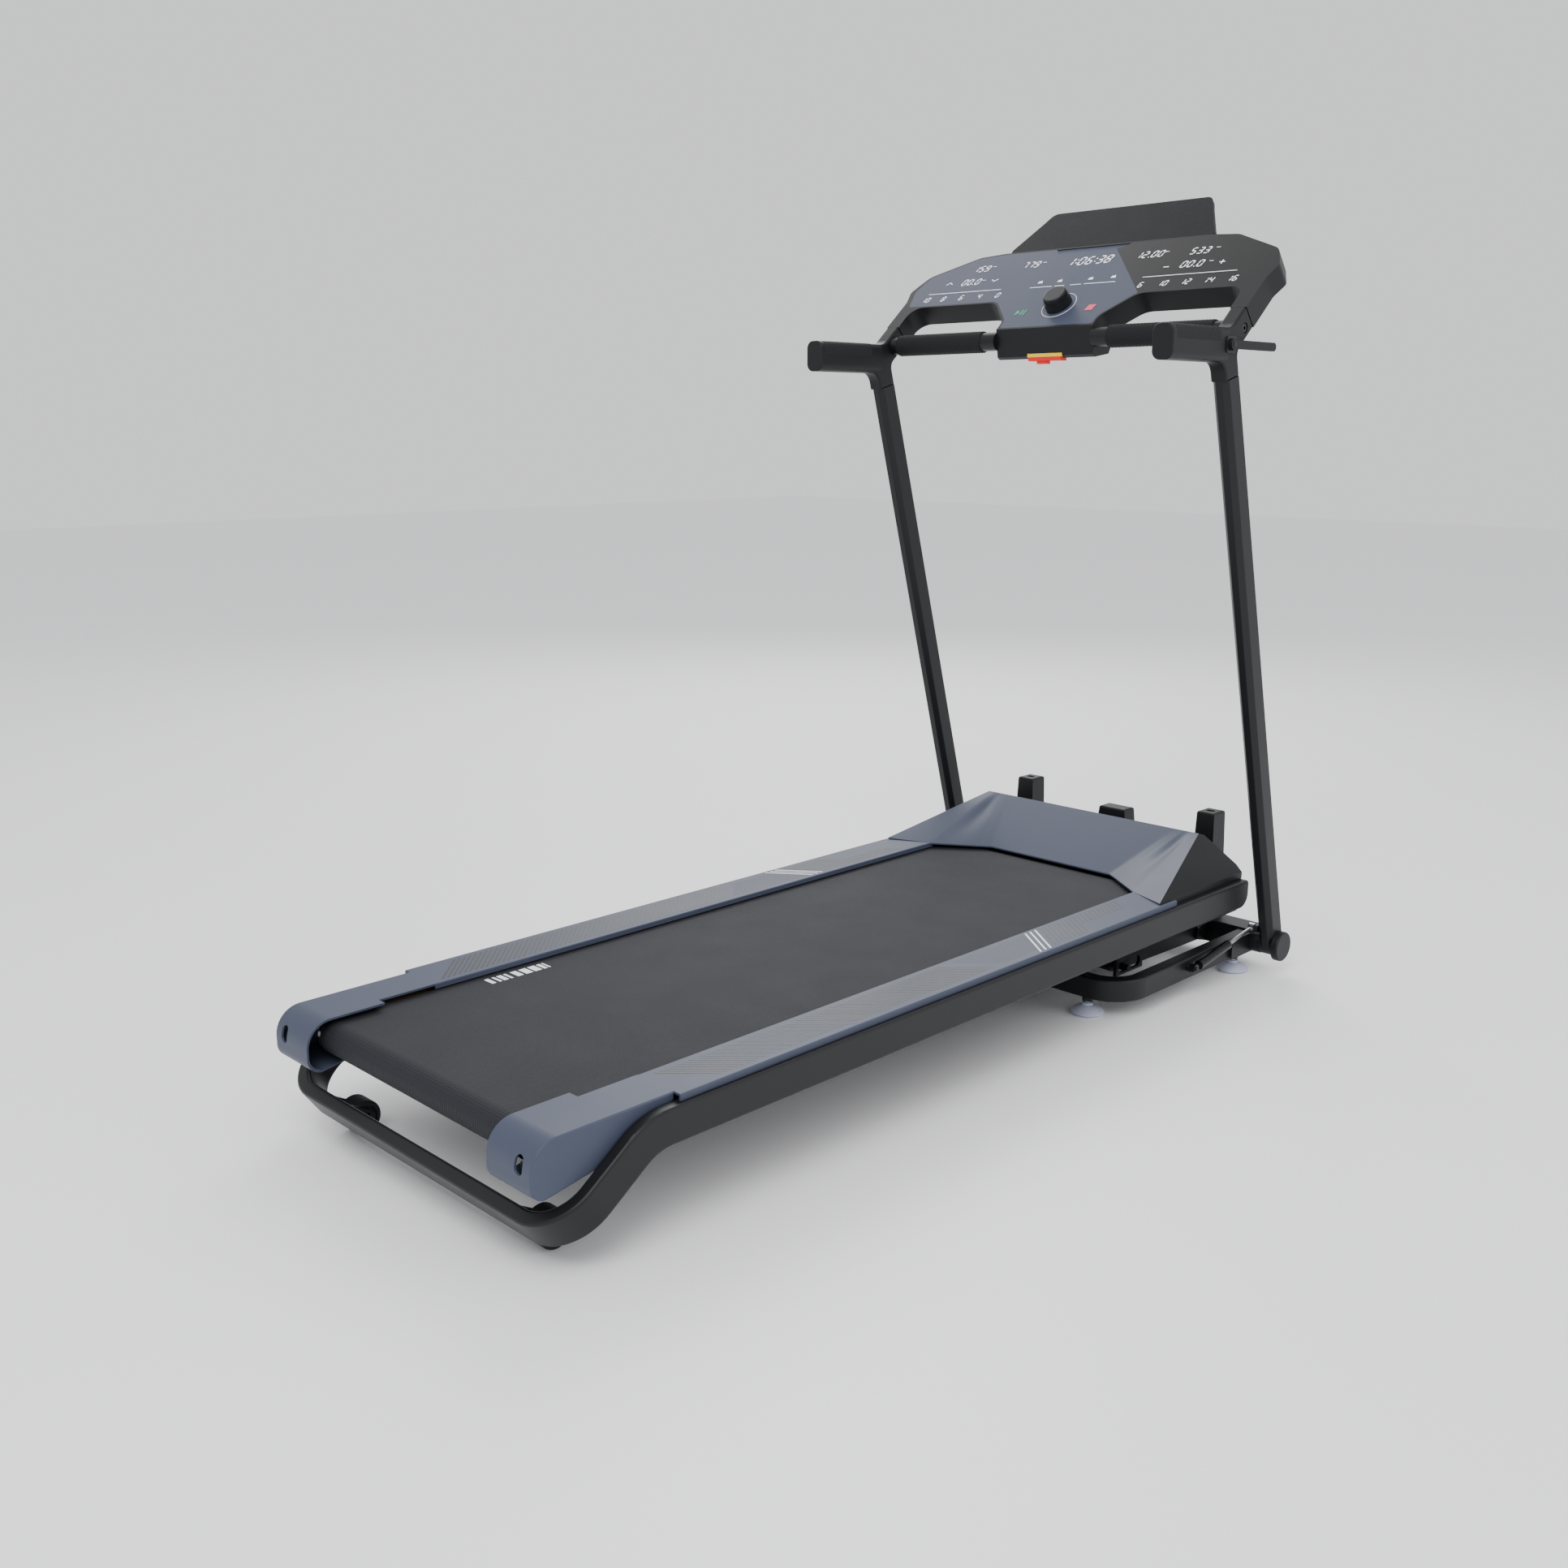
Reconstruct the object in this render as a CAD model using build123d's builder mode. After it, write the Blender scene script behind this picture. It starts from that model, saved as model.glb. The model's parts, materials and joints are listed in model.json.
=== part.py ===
"""Folding treadmill with a motorised incline, as an assembly of separate pieces.

Millimetres, +X towards the console, +Y to the user's left, +Z up.  The origin is on
the floor, under the middle of the machine.
"""
from build123d import *
from math import cos, radians, sin, tan
import os

os.makedirs("parts", exist_ok=True)

# ---------------------------------------------------------------- driving sizes
LENGTH = 1612.0          # rear cap nose to the front face of the stand posts
NOSE = 62.0              # rear cap nose behind the line where the rear wheels stand
X_FOOT = -LENGTH / 2 + NOSE
FIT = 0.3                # gap between pieces of different bodies that pass each other
RUN = 0.05               # radial running clearance of a turning fit

DECK_TOP = 178.0         # top of the foot rails above the floor
DECK_HALF = 315.0        # outer face of the side tubes from the middle
BELT_WIDTH = 452.0
BELT_VISIBLE = 450.0     # between the inner edges of the foot rails
BELT_T = 2.0
ROLLER_R = 21.0
ROLLER_REAR_X = X_FOOT - 10.0
ROLLER_FRONT_X = X_FOOT + 1305.0

# side tube and rear loop
TUBE_W = 20.0
TUBE_H = 48.0
TUBE_TOP = 169.0
TUBE_FRONT_X = X_FOOT + 1476.0
LOOP_SLOPE = 35.3        # slope of the plane that the rear loop lies in
LOOP_R = 71.0            # outer corner radius of the loop
LOOP_X = X_FOOT - 52.5   # outer upper edge of the loop's cross run
LOOP_Z = 66.0
BEND_R = 115.0           # upper bend of the side tube, measured at its top edge

# base
BASE_HALF = 310.0
BASE_W = 25.0
BASE_BOTTOM = 29.0
BASE_H = 38.0
BASE_REAR_X = X_FOOT + 1091.0
BASE_R = 70.0
CROSS_X = X_FOOT + 1500.0        # rear face of the front cross member and of the posts
CROSS_DEPTH = LENGTH - NOSE - 1500.0
POST_W = 47.0
POST_Y = 202.0
POST_TOP = 267.0
FOOT_R = 27.5

# uprights
HINGE_X = X_FOOT + 1503.0
HINGE_Z = 52.0
LEAN = 15.9              # rearward lean of the uprights from vertical
UP_D = 38.0              # section along X
UP_W = 28.0              # section along Y
UP_Y = 349.0
SEAM_Z = 1023.0          # joint between the upright tube and the handle housing

# handles
HANDLE_REAR = X_FOOT + 1046.0
HANDLE_Z = 1072.0
HANDLE_H = 52.0
HANDLE_W = 36.0
GRIP_R = 18.5
GRIP_X = X_FOOT + 1243.0
GRIP_Z = 1094.5
GRIP_IN = 128.0          # inner end of the foam on the cross bar
BAR_R = 12.5

# console
FACE_SLOPE = 41.1
FACE_X = X_FOOT + 1235.3
FACE_Z = 1113.6
FASCIA_T = 3.0
WING_LOW = 76.0          # lower edge of the wings, up the face
WING_TOP = 219.0
BLOCK_HALF = 98.0
ARM_IN = 336.0
ARM_OUT = 364.0

# hood
HOOD_REAR_X = X_FOOT + 1206.0
HOOD_CREST_X = X_FOOT + 1432.0
HOOD_CREST_Z = 247.0
HOOD_HALF = 300.0
HOOD_FRONT_X = X_FOOT + 1474.0

SIDES = ((1, "left"), (-1, "right"))


def xz_at(y):
    """Upright plane facing the right side, with (x, z) as its own axes."""
    return Plane.XZ.offset(-y)


def save(builder, name):
    builder.part.label = name
    export_step(builder.part, f"parts/{name}.step")


def save_together(builders, name):
    """One node out of like pieces that never move against each other."""
    group = Compound([solid for builder in builders for solid in builder.part.solids()])
    group.label = name
    export_step(group, f"parts/{name}.step")


# ---------------------------------------------------------------- derived places
BELT_TOP = 168.0
ROLLER_Z = BELT_TOP - BELT_T - FIT - ROLLER_R
BELT_R = ROLLER_R + FIT + BELT_T
TUBE_LOW = TUBE_TOP - TUBE_H
TUBE_IN = DECK_HALF - TUBE_W
SLOPE_X = cos(radians(LOOP_SLOPE))
SLOPE_Z = sin(radians(LOOP_SLOPE))
# the loop's plane: its own x runs down the slope towards the rear, its y along -Y
LOOP_PLANE = Plane(origin=(LOOP_X, 0, LOOP_Z), x_dir=(-SLOPE_X, 0, -SLOPE_Z), z_dir=(-SLOPE_Z, 0, SLOPE_X))
LEG_END = LOOP_R + 6.0   # up the slope from the cross run to the weld with the side tube

FACE = Plane(
    origin=(FACE_X, 0, FACE_Z),
    x_dir=(0, -1, 0),
    z_dir=(-sin(radians(FACE_SLOPE)), 0, cos(radians(FACE_SLOPE))),
)
UP_AXIS = Vector(-sin(radians(LEAN)), 0, cos(radians(LEAN)))
UP_LENGTH = (SEAM_Z - HINGE_Z) / cos(radians(LEAN))
UP_IN = UP_Y - UP_W / 2
UP_OUT = UP_Y + UP_W / 2
HANDLE_OUT = UP_Y + HANDLE_W / 2
MOUNT_T = 2.0            # plate that the lock lever turns on
LEVER_T = 5.0


# ================================================================ base
BASE_Z = BASE_BOTTOM + BASE_H / 2
with BuildPart() as base_frame:
    with BuildSketch(Plane.XY.offset(BASE_BOTTOM)):
        with BuildLine():
            u_path = FilletPolyline(
                (CROSS_X, BASE_HALF - BASE_W / 2),
                (BASE_REAR_X + BASE_W / 2, BASE_HALF - BASE_W / 2),
                (BASE_REAR_X + BASE_W / 2, -BASE_HALF + BASE_W / 2),
                (CROSS_X, -BASE_HALF + BASE_W / 2),
                radius=BASE_R - BASE_W / 2,
            )
        trace(u_path, BASE_W)
    extrude(amount=BASE_H)
    fillet(base_frame.edges().filter_by(Plane.XY).group_by(Axis.Z)[-1], 4)
    fillet(base_frame.edges().filter_by(Plane.XY).group_by(Axis.Z)[0], 4)

CROSS_H = BASE_H + 3.0
PIN_R = 8.0
BOSS_R = 20.0
PLATE_T = 6.0
LIFT_PIVOT_X = CROSS_X - 20.0
LIFT_PIVOT_Z = BASE_Z
LIFT_PIN_R = 6.0
LIFT_Y = 205.0
LUG_T = 6.0
LIFT_W = 25.0
LIFT_H = 28.0
LIFT_REAR_X = X_FOOT + 1205.0
LIFT_REAR_Z = 55.0
PIN_OUT = 248.0
with BuildPart() as front_member:
    with BuildSketch(Plane.XY.offset(BASE_BOTTOM)):
        with Locations((CROSS_X + CROSS_DEPTH / 2, 0)):
            RectangleRounded(CROSS_DEPTH, 2 * BASE_HALF, 6)
    extrude(amount=CROSS_H)
    fillet(front_member.edges().group_by(Axis.Z)[-1], 3)
    for side, tag in SIDES:
        # plate along the base tube and the boss that carries the fold hinge
        with BuildSketch(xz_at(side * BASE_HALF)):
            with Locations((HINGE_X - 30, BASE_BOTTOM + CROSS_H / 2)):
                RectangleRounded(90, CROSS_H - 6, 8)
        extrude(amount=-side * PLATE_T)
        with BuildSketch(xz_at(side * BASE_HALF)):
            with Locations((HINGE_X, HINGE_Z)):
                Circle(BOSS_R)
        extrude(amount=-side * (UP_IN - FIT - BASE_HALF))
        with BuildSketch(xz_at(side * BASE_HALF)):
            with Locations((HINGE_X, HINGE_Z)):
                Circle(PIN_R + RUN)
        extrude(amount=-side * (UP_IN - BASE_HALF), mode=Mode.SUBTRACT)
        # lugs of the lift frame's pivot
        for lug in (-1, 1):
            with BuildSketch(xz_at(side * LIFT_Y + lug * (LIFT_W / 2 + FIT + LUG_T / 2))):
                with BuildLine():
                    Polyline((CROSS_X + 1, BASE_BOTTOM), (LIFT_PIVOT_X, LIFT_PIVOT_Z - 13),
                             (LIFT_PIVOT_X, LIFT_PIVOT_Z + 13), (CROSS_X + 1, BASE_BOTTOM + CROSS_H - 4),
                             close=True)
                make_face()
                with Locations((LIFT_PIVOT_X, LIFT_PIVOT_Z)):
                    Circle(13)
                    Circle(LIFT_PIN_R + RUN, mode=Mode.SUBTRACT)
            extrude(amount=LUG_T / 2, both=True)
save(front_member, "front_member")

with BuildPart() as front_posts:
    for side, tag in SIDES:
        with BuildSketch(Plane.XY.offset(BASE_BOTTOM + CROSS_H)):
            with Locations((CROSS_X + CROSS_DEPTH / 2, side * POST_Y)):
                Rectangle(CROSS_DEPTH - 4, POST_W)
        with BuildSketch(Plane.XY.offset(POST_TOP)):
            with Locations((CROSS_X + CROSS_DEPTH / 2 + 2, side * POST_Y)):
                Rectangle(CROSS_DEPTH - 12, POST_W - 12)
        loft()
    fillet(front_posts.edges().filter_by(Axis.Z, reverse=True).group_by(Axis.Z)[-1], 4)
    # small recess in each top
    with BuildSketch(Plane.XY.offset(POST_TOP)):
        with Locations((CROSS_X + CROSS_DEPTH / 2, POST_Y), (CROSS_X + CROSS_DEPTH / 2, -POST_Y)):
            RectangleRounded(10, 16, 3)
    extrude(amount=-3, mode=Mode.SUBTRACT)

MID_POST_W = 92.0
MID_POST_TOP = 240.0
with BuildPart() as middle_post:
    with BuildSketch(Plane.XY.offset(BASE_BOTTOM + CROSS_H)):
        with Locations((CROSS_X + CROSS_DEPTH / 2, 0)):
            Rectangle(CROSS_DEPTH - 4, MID_POST_W)
    with BuildSketch(Plane.XY.offset(MID_POST_TOP)):
        with Locations((CROSS_X + CROSS_DEPTH / 2 + 3, 0)):
            Rectangle(CROSS_DEPTH - 18, MID_POST_W - 36)
    loft()
    fillet(middle_post.edges().group_by(Axis.Z)[-1], 4)
save_together((front_posts, middle_post), "stand_posts")

# levelling feet: rear pair under the cross run of the base, front pair under its legs
STEM_R = 5.0
PAD_H = 15.0
FOOT_PLACES = {
    "foot_rear_left": (BASE_REAR_X + BASE_W / 2, 236.0),
    "foot_rear_right": (BASE_REAR_X + BASE_W / 2, -236.0),
    "foot_front_left": (X_FOOT + 1466.0, BASE_HALF - BASE_W / 2),
    "foot_front_right": (X_FOOT + 1466.0, -BASE_HALF + BASE_W / 2),
}
for name, (x, y) in FOOT_PLACES.items():
    with BuildPart() as foot:
        with BuildSketch(Plane(origin=(x, y, 0), x_dir=(1, 0, 0), z_dir=(0, -1, 0))):
            with BuildLine():
                Polyline((0, 0), (FOOT_R - 3, 0), (FOOT_R, 3), (FOOT_R, 5))
                ThreePointArc((FOOT_R, 5), (FOOT_R * 0.72, 10.5), (9, PAD_H))
                Polyline((9, PAD_H), (9, 19), (STEM_R, 19), (STEM_R, BASE_BOTTOM - FIT), (0, BASE_BOTTOM - FIT),
                         (0, 0))
            make_face()
        revolve(axis=Axis((x, y, 0), (0, 0, 1)))
    save(foot, name)

# nuts welded under the base, which the feet screw into
with BuildPart() as foot_nuts:
    for x, y in FOOT_PLACES.values():
        with BuildSketch(Plane.XY.offset(BASE_BOTTOM)):
            with Locations((x, y)):
                RegularPolygon(9, 6)
                Circle(STEM_R + FIT, mode=Mode.SUBTRACT)
        extrude(amount=-7)

# ================================================================ lift frame
with BuildPart() as lift_frame:
    for side, tag in SIDES:
        with BuildSketch(xz_at(side * LIFT_Y)):
            with BuildLine():
                lift_line = Line((LIFT_REAR_X, LIFT_REAR_Z), (LIFT_PIVOT_X, LIFT_PIVOT_Z))
            trace(lift_line, LIFT_H)
            with Locations((LIFT_REAR_X, LIFT_REAR_Z), (LIFT_PIVOT_X, LIFT_PIVOT_Z)):
                Circle(LIFT_H / 2 - 1)
        extrude(amount=LIFT_W / 2, both=True)
        with BuildSketch(xz_at(side * LIFT_Y)):
            with Locations((LIFT_PIVOT_X, LIFT_PIVOT_Z)):
                Circle(LIFT_PIN_R)
        extrude(amount=LIFT_W / 2 + FIT + LUG_T + 1, both=True)
        with BuildSketch(xz_at(side * (LIFT_Y + LIFT_W / 2))):
            with Locations((LIFT_REAR_X, LIFT_REAR_Z)):
                Circle(LIFT_PIN_R)
        extrude(amount=-side * (PIN_OUT - LIFT_Y - LIFT_W / 2))
    with BuildSketch(xz_at(0)):
        with Locations((LIFT_REAR_X + 60, LIFT_REAR_Z - 1)):
            Circle(12)
    extrude(amount=LIFT_Y, both=True)
save(lift_frame, "lift_frame")

# ================================================================ deck frame
TUBE_MID = DECK_HALF - TUBE_W / 2
TUBE_ZC = TUBE_TOP - TUBE_H / 2
LEG_X = LOOP_X + SLOPE_X * LEG_END + SLOPE_Z * TUBE_H / 2
LEG_Z = LOOP_Z + SLOPE_Z * LEG_END - SLOPE_X * TUBE_H / 2
ELBOW_X = LEG_X + (TUBE_ZC - LEG_Z) / tan(radians(LOOP_SLOPE))
EDGE_R = 4.5
for side, tag in SIDES:
    with BuildPart() as side_tube:
        with BuildSketch(xz_at(side * TUBE_MID)) as tube_side:
            with BuildLine():
                tube_path = FilletPolyline(
                    (TUBE_FRONT_X, TUBE_ZC), (ELBOW_X, TUBE_ZC), (LEG_X, LEG_Z), radius=BEND_R - TUBE_H / 2
                )
            trace(tube_path, TUBE_H)
            fillet(tube_side.vertices().group_by(Axis.X)[-1].sort_by(Axis.Y)[0], 24)
            fillet(tube_side.vertices().group_by(Axis.Y)[-1].sort_by(Axis.X)[-1], 6)
        extrude(amount=TUBE_W / 2, both=True)
        weld = Vertex(LEG_X, side * TUBE_MID, LEG_Z)
        long_edges = side_tube.faces().filter_by(Plane.XZ).edges()
        fillet(long_edges.filter_by(lambda e: e.center().sub(weld.center()).length > TUBE_W), EDGE_R)
    save(side_tube, f"side_tube_{tag}")

with BuildPart() as rear_loop:
    with BuildSketch(LOOP_PLANE):
        with BuildLine():
            loop_path = FilletPolyline(
                (-LEG_END, TUBE_MID),
                (-TUBE_W / 2, TUBE_MID),
                (-TUBE_W / 2, -TUBE_MID),
                (-LEG_END, -TUBE_MID),
                radius=LOOP_R - TUBE_W / 2,
            )
        trace(loop_path, TUBE_W)
    extrude(amount=-TUBE_H)
    loop_edges = rear_loop.edges().filter_by(LOOP_PLANE)
    fillet(loop_edges.filter_by(lambda e: LOOP_PLANE.to_local_coords(e.center()).X > -LEG_END + 1), EDGE_R)
save(rear_loop, "rear_loop")

# rear wheels in cheeks welded to the loop
WHEEL_R = 24.0
WHEEL_W = 36.0
WHEEL_X = X_FOOT + 14.0
WHEEL_Y = 218.0
WHEEL_AXLE_R = 5.0
CHEEK_T = 4.0
LOOP_IN_X = LOOP_X + SLOPE_X * TUBE_W + SLOPE_Z * TUBE_H
LOOP_IN_Z = LOOP_Z + SLOPE_Z * TUBE_W - SLOPE_X * TUBE_H
CHEEK_UP = 26.0
with BuildPart() as wheel_cheeks:
    for side, tag in SIDES:
        for cheek in (-1, 1):
            with BuildSketch(xz_at(side * WHEEL_Y + cheek * (WHEEL_W / 2 + FIT + CHEEK_T / 2))):
                with BuildLine():
                    Polyline(
                        (LOOP_IN_X - SLOPE_Z * 5, LOOP_IN_Z + SLOPE_X * 5),
                        (LOOP_IN_X - SLOPE_Z * CHEEK_UP, LOOP_IN_Z + SLOPE_X * CHEEK_UP),
                        (WHEEL_X + 5, WHEEL_R + 11),
                        (WHEEL_X, WHEEL_R),
                        close=True,
                    )
                make_face()
                with Locations((WHEEL_X, WHEEL_R)):
                    Circle(12)
            extrude(amount=CHEEK_T / 2, both=True)
        with BuildSketch(xz_at(side * WHEEL_Y)):
            with Locations((WHEEL_X, WHEEL_R)):
                Circle(WHEEL_AXLE_R)
        extrude(amount=WHEEL_W / 2 + FIT + CHEEK_T + 4, both=True)
        for cheek in (-1, 1):
            with BuildSketch(xz_at(side * WHEEL_Y + cheek * (WHEEL_W / 2 + FIT + CHEEK_T + 2))):
                with Locations((WHEEL_X, WHEEL_R)):
                    RegularPolygon(8, 6)
            extrude(amount=2, both=True)
save(wheel_cheeks, "wheel_cheeks")

for side, tag in SIDES:
    with BuildPart() as wheel:
        with BuildSketch(xz_at(side * WHEEL_Y)):
            with Locations((WHEEL_X, WHEEL_R)):
                Circle(WHEEL_R)
        extrude(amount=WHEEL_W / 2, both=True)
        fillet(wheel.edges(), 4)
        for face_side in (-1, 1):
            with BuildSketch(xz_at(side * WHEEL_Y + face_side * WHEEL_W / 2)):
                with Locations((WHEEL_X, WHEEL_R)):
                    Circle(WHEEL_R - 7)
                    Circle(10, mode=Mode.SUBTRACT)
            extrude(amount=face_side * 4, mode=Mode.SUBTRACT)
        with BuildSketch(xz_at(side * WHEEL_Y)):
            with Locations((WHEEL_X, WHEEL_R)):
                Circle(WHEEL_AXLE_R + RUN)
        extrude(amount=WHEEL_W, both=True, mode=Mode.SUBTRACT)
    save(wheel, f"rear_wheel_{tag}")

# cross members between the side tubes
MEMBER_LOW = 126.0
MEMBER_H = 12.0
MEMBER_W = 40.0
MEMBER_XS = [X_FOOT + 170 + step * 340 for step in range(4)]
with BuildPart() as cross_members:
    with BuildSketch(Plane.XY.offset(MEMBER_LOW)):
        with Locations([(x, 0) for x in MEMBER_XS]):
            Rectangle(MEMBER_W, 2 * TUBE_IN)
    extrude(amount=MEMBER_H)

# inner rails that carry the roller axles
RAIL_Y = 285.0
RAIL_T = 6.0
BOARD_TOP = BELT_TOP - BELT_T
AXLE_R = 6.0
AXLE_END = RAIL_Y + RAIL_T / 2
inner_rails = []
for side, tag in SIDES:
    with BuildPart() as inner_rail:
        with BuildSketch(xz_at(side * RAIL_Y)):
            with BuildLine():
                Polyline(
                    (ROLLER_REAR_X - 18, MEMBER_LOW + MEMBER_H),
                    (ROLLER_REAR_X - 18, BOARD_TOP),
                    (ROLLER_FRONT_X + 24, BOARD_TOP),
                    (ROLLER_FRONT_X + 24, MEMBER_LOW + MEMBER_H),
                    (ROLLER_FRONT_X + 10, MEMBER_LOW + 6),
                    (ROLLER_FRONT_X - 10, MEMBER_LOW + 6),
                    (ROLLER_FRONT_X - 22, MEMBER_LOW + MEMBER_H),
                    close=True,
                )
            make_face()
            with Locations((ROLLER_FRONT_X, ROLLER_Z)):
                Circle(AXLE_R, mode=Mode.SUBTRACT)
            with Locations((ROLLER_REAR_X, ROLLER_Z)):
                Circle(AXLE_R, mode=Mode.SUBTRACT)
        extrude(amount=RAIL_T / 2, both=True)
    inner_rails.append(inner_rail)
save_together(inner_rails, "inner_rails")

BOARD_T = 18.0
BOARD_HALF = 262.0
BOARD_REAR_X = ROLLER_REAR_X + ROLLER_R + 14
BOARD_FRONT_X = ROLLER_FRONT_X - ROLLER_R - 14
with BuildPart() as deck_board:
    with BuildSketch(Plane.XY.offset(BOARD_TOP - BOARD_T)):
        with Locations(((BOARD_REAR_X + BOARD_FRONT_X) / 2, 0)):
            Rectangle(BOARD_FRONT_X - BOARD_REAR_X, 2 * BOARD_HALF)
    extrude(amount=BOARD_T)
    chamfer(deck_board.edges().group_by(Axis.Z)[-1].filter_by(Axis.Y), 3)
save(deck_board, "deck_board")

with BuildPart() as deck_cushions:
    with BuildSketch(Plane.XY.offset(MEMBER_LOW + MEMBER_H)):
        with Locations([(x, y) for x in MEMBER_XS for y in (-BOARD_HALF + 20, BOARD_HALF - 20)]):
            Circle(16)
    extrude(amount=BOARD_TOP - BOARD_T - MEMBER_LOW - MEMBER_H)
save(deck_cushions, "deck_cushions")

# running belt: a closed band round both rollers
with BuildPart() as running_belt:
    with BuildSketch(xz_at(0)):
        with Locations(((ROLLER_REAR_X + ROLLER_FRONT_X) / 2, ROLLER_Z)):
            SlotCenterToCenter(ROLLER_FRONT_X - ROLLER_REAR_X, 2 * BELT_R)
            SlotCenterToCenter(ROLLER_FRONT_X - ROLLER_REAR_X, 2 * (BELT_R - BELT_T), mode=Mode.SUBTRACT)
    extrude(amount=BELT_WIDTH / 2, both=True)
save(running_belt, "running_belt")

# rollers and their axles
PULLEY_Y = 247.0
PULLEY_W = 22.0
DRIVEN_R = 19.0
with BuildPart() as rear_roller:
    with BuildSketch(xz_at(0)):
        with Locations((ROLLER_REAR_X, ROLLER_Z)):
            Circle(ROLLER_R)
            Circle(AXLE_R + RUN, mode=Mode.SUBTRACT)
    extrude(amount=BELT_WIDTH / 2 + 12, both=True)
    chamfer(rear_roller.edges().filter_by(GeomType.CIRCLE).sort_by(SortBy.RADIUS)[-2:], 2)
save(rear_roller, "rear_roller")

with BuildPart() as front_roller:
    with BuildSketch(xz_at(0)):
        with Locations((ROLLER_FRONT_X, ROLLER_Z)):
            Circle(ROLLER_R)
    extrude(amount=BELT_WIDTH / 2, both=True)
    with BuildSketch(xz_at(BELT_WIDTH / 2)):
        with Locations((ROLLER_FRONT_X, ROLLER_Z)):
            Circle(ROLLER_R - 6)
    extrude(amount=-(PULLEY_Y - PULLEY_W / 2 - BELT_WIDTH / 2))
    with BuildSketch(xz_at(PULLEY_Y)):
        with Locations((ROLLER_FRONT_X, ROLLER_Z)):
            Circle(DRIVEN_R)
    extrude(amount=PULLEY_W / 2, both=True)
    with BuildSketch(xz_at(0)):
        with Locations((ROLLER_FRONT_X, ROLLER_Z)):
            Circle(AXLE_R + RUN)
    extrude(amount=RAIL_Y, both=True, mode=Mode.SUBTRACT)
save(front_roller, "front_roller")

with BuildPart() as roller_axles:
    with BuildSketch(xz_at(0)):
        with Locations((ROLLER_REAR_X, ROLLER_Z), (ROLLER_FRONT_X, ROLLER_Z)):
            Circle(AXLE_R)
    extrude(amount=AXLE_END, both=True)
save(roller_axles, "roller_axles")

# bolts that pull the rear axle to tension and track the belt
BOLT_Y = 271.0
CAP_NOSE = X_FOOT - NOSE
with BuildPart() as tension_bolts:
    for side, tag in SIDES:
        with BuildSketch(Plane(origin=(CAP_NOSE + 8, side * BOLT_Y, ROLLER_Z), x_dir=(0, 1, 0), z_dir=(1, 0, 0))):
            Circle(6.5)
            RegularPolygon(3.2, 6, mode=Mode.SUBTRACT)
        extrude(amount=8)
        with BuildSketch(Plane(origin=(CAP_NOSE + 16, side * BOLT_Y, ROLLER_Z), x_dir=(0, 1, 0), z_dir=(1, 0, 0))):
            Circle(4)
        extrude(amount=ROLLER_REAR_X - AXLE_R - CAP_NOSE - 16)
save(tension_bolts, "tension_bolts")

# ================================================================ rails and rear caps
SKIN = 3.0
RAIL_OUT = 306.0
RAIL_IN = BELT_VISIBLE / 2
RAIL_REAR_X = X_FOOT + 149.0
RAIL_FRONT_X = X_FOOT + 1250.0
LIP_LOW = BELT_TOP + 2.0
foot_rails = []
for side, tag in SIDES:
    with BuildPart() as foot_rail:
        with BuildSketch(Plane(origin=(RAIL_REAR_X, 0, 0), x_dir=(0, side, 0), z_dir=(side, 0, 0))):
            with BuildLine():
                Polyline(
                    (RAIL_IN, LIP_LOW),
                    (RAIL_IN, DECK_TOP),
                    (RAIL_OUT, DECK_TOP),
                    (RAIL_OUT, TUBE_TOP),
                    (RAIL_OUT - SKIN, TUBE_TOP),
                    (RAIL_OUT - SKIN, DECK_TOP - SKIN),
                    (RAIL_Y + 2, DECK_TOP - SKIN),
                    (RAIL_Y + 2, BOARD_TOP),
                    (RAIL_Y - 2, BOARD_TOP),
                    (RAIL_Y - 2, DECK_TOP - SKIN),
                    (RAIL_IN + SKIN, DECK_TOP - SKIN),
                    (RAIL_IN + SKIN, LIP_LOW),
                    close=True,
                )
            make_face()
        extrude(amount=side * (RAIL_FRONT_X - RAIL_REAR_X))
        top_edges = foot_rail.edges().filter_by(Axis.X).group_by(Axis.Z)[-1]
        fillet(top_edges, 1.8)
    foot_rails.append(foot_rail)
save_together(foot_rails, "foot_rails")

CAP_IN = 209.0
CAP_STEP_X = X_FOOT + 58.0
CAP_OUT = TUBE_IN - FIT
CAP_LOW = 106.0


CAP_FLOOR_X = X_FOOT + 30.0      # the cap's floor ends here, ahead of it only the side wall goes on
CAP_FLOOR_Z = 118.0


def cap_profile(inset, front_points):
    """Side outline of the rear cap, drawn inside itself by the wall thickness."""
    nose = CAP_NOSE + inset
    top = DECK_TOP - inset
    low = CAP_LOW + inset
    with BuildLine() as outline:
        Polyline((nose, 128), (nose, 140))
        RadiusArc((nose, 140), (nose + 38 - inset, top), 38 - inset)
        Polyline(
            (nose + 38 - inset, top),
            *front_points,
            (CAP_FLOOR_X, CAP_FLOOR_Z + inset),
            (nose + 20, low),
        )
        RadiusArc((nose + 20, low), (nose, 128), 21)
    return outline.line


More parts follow.
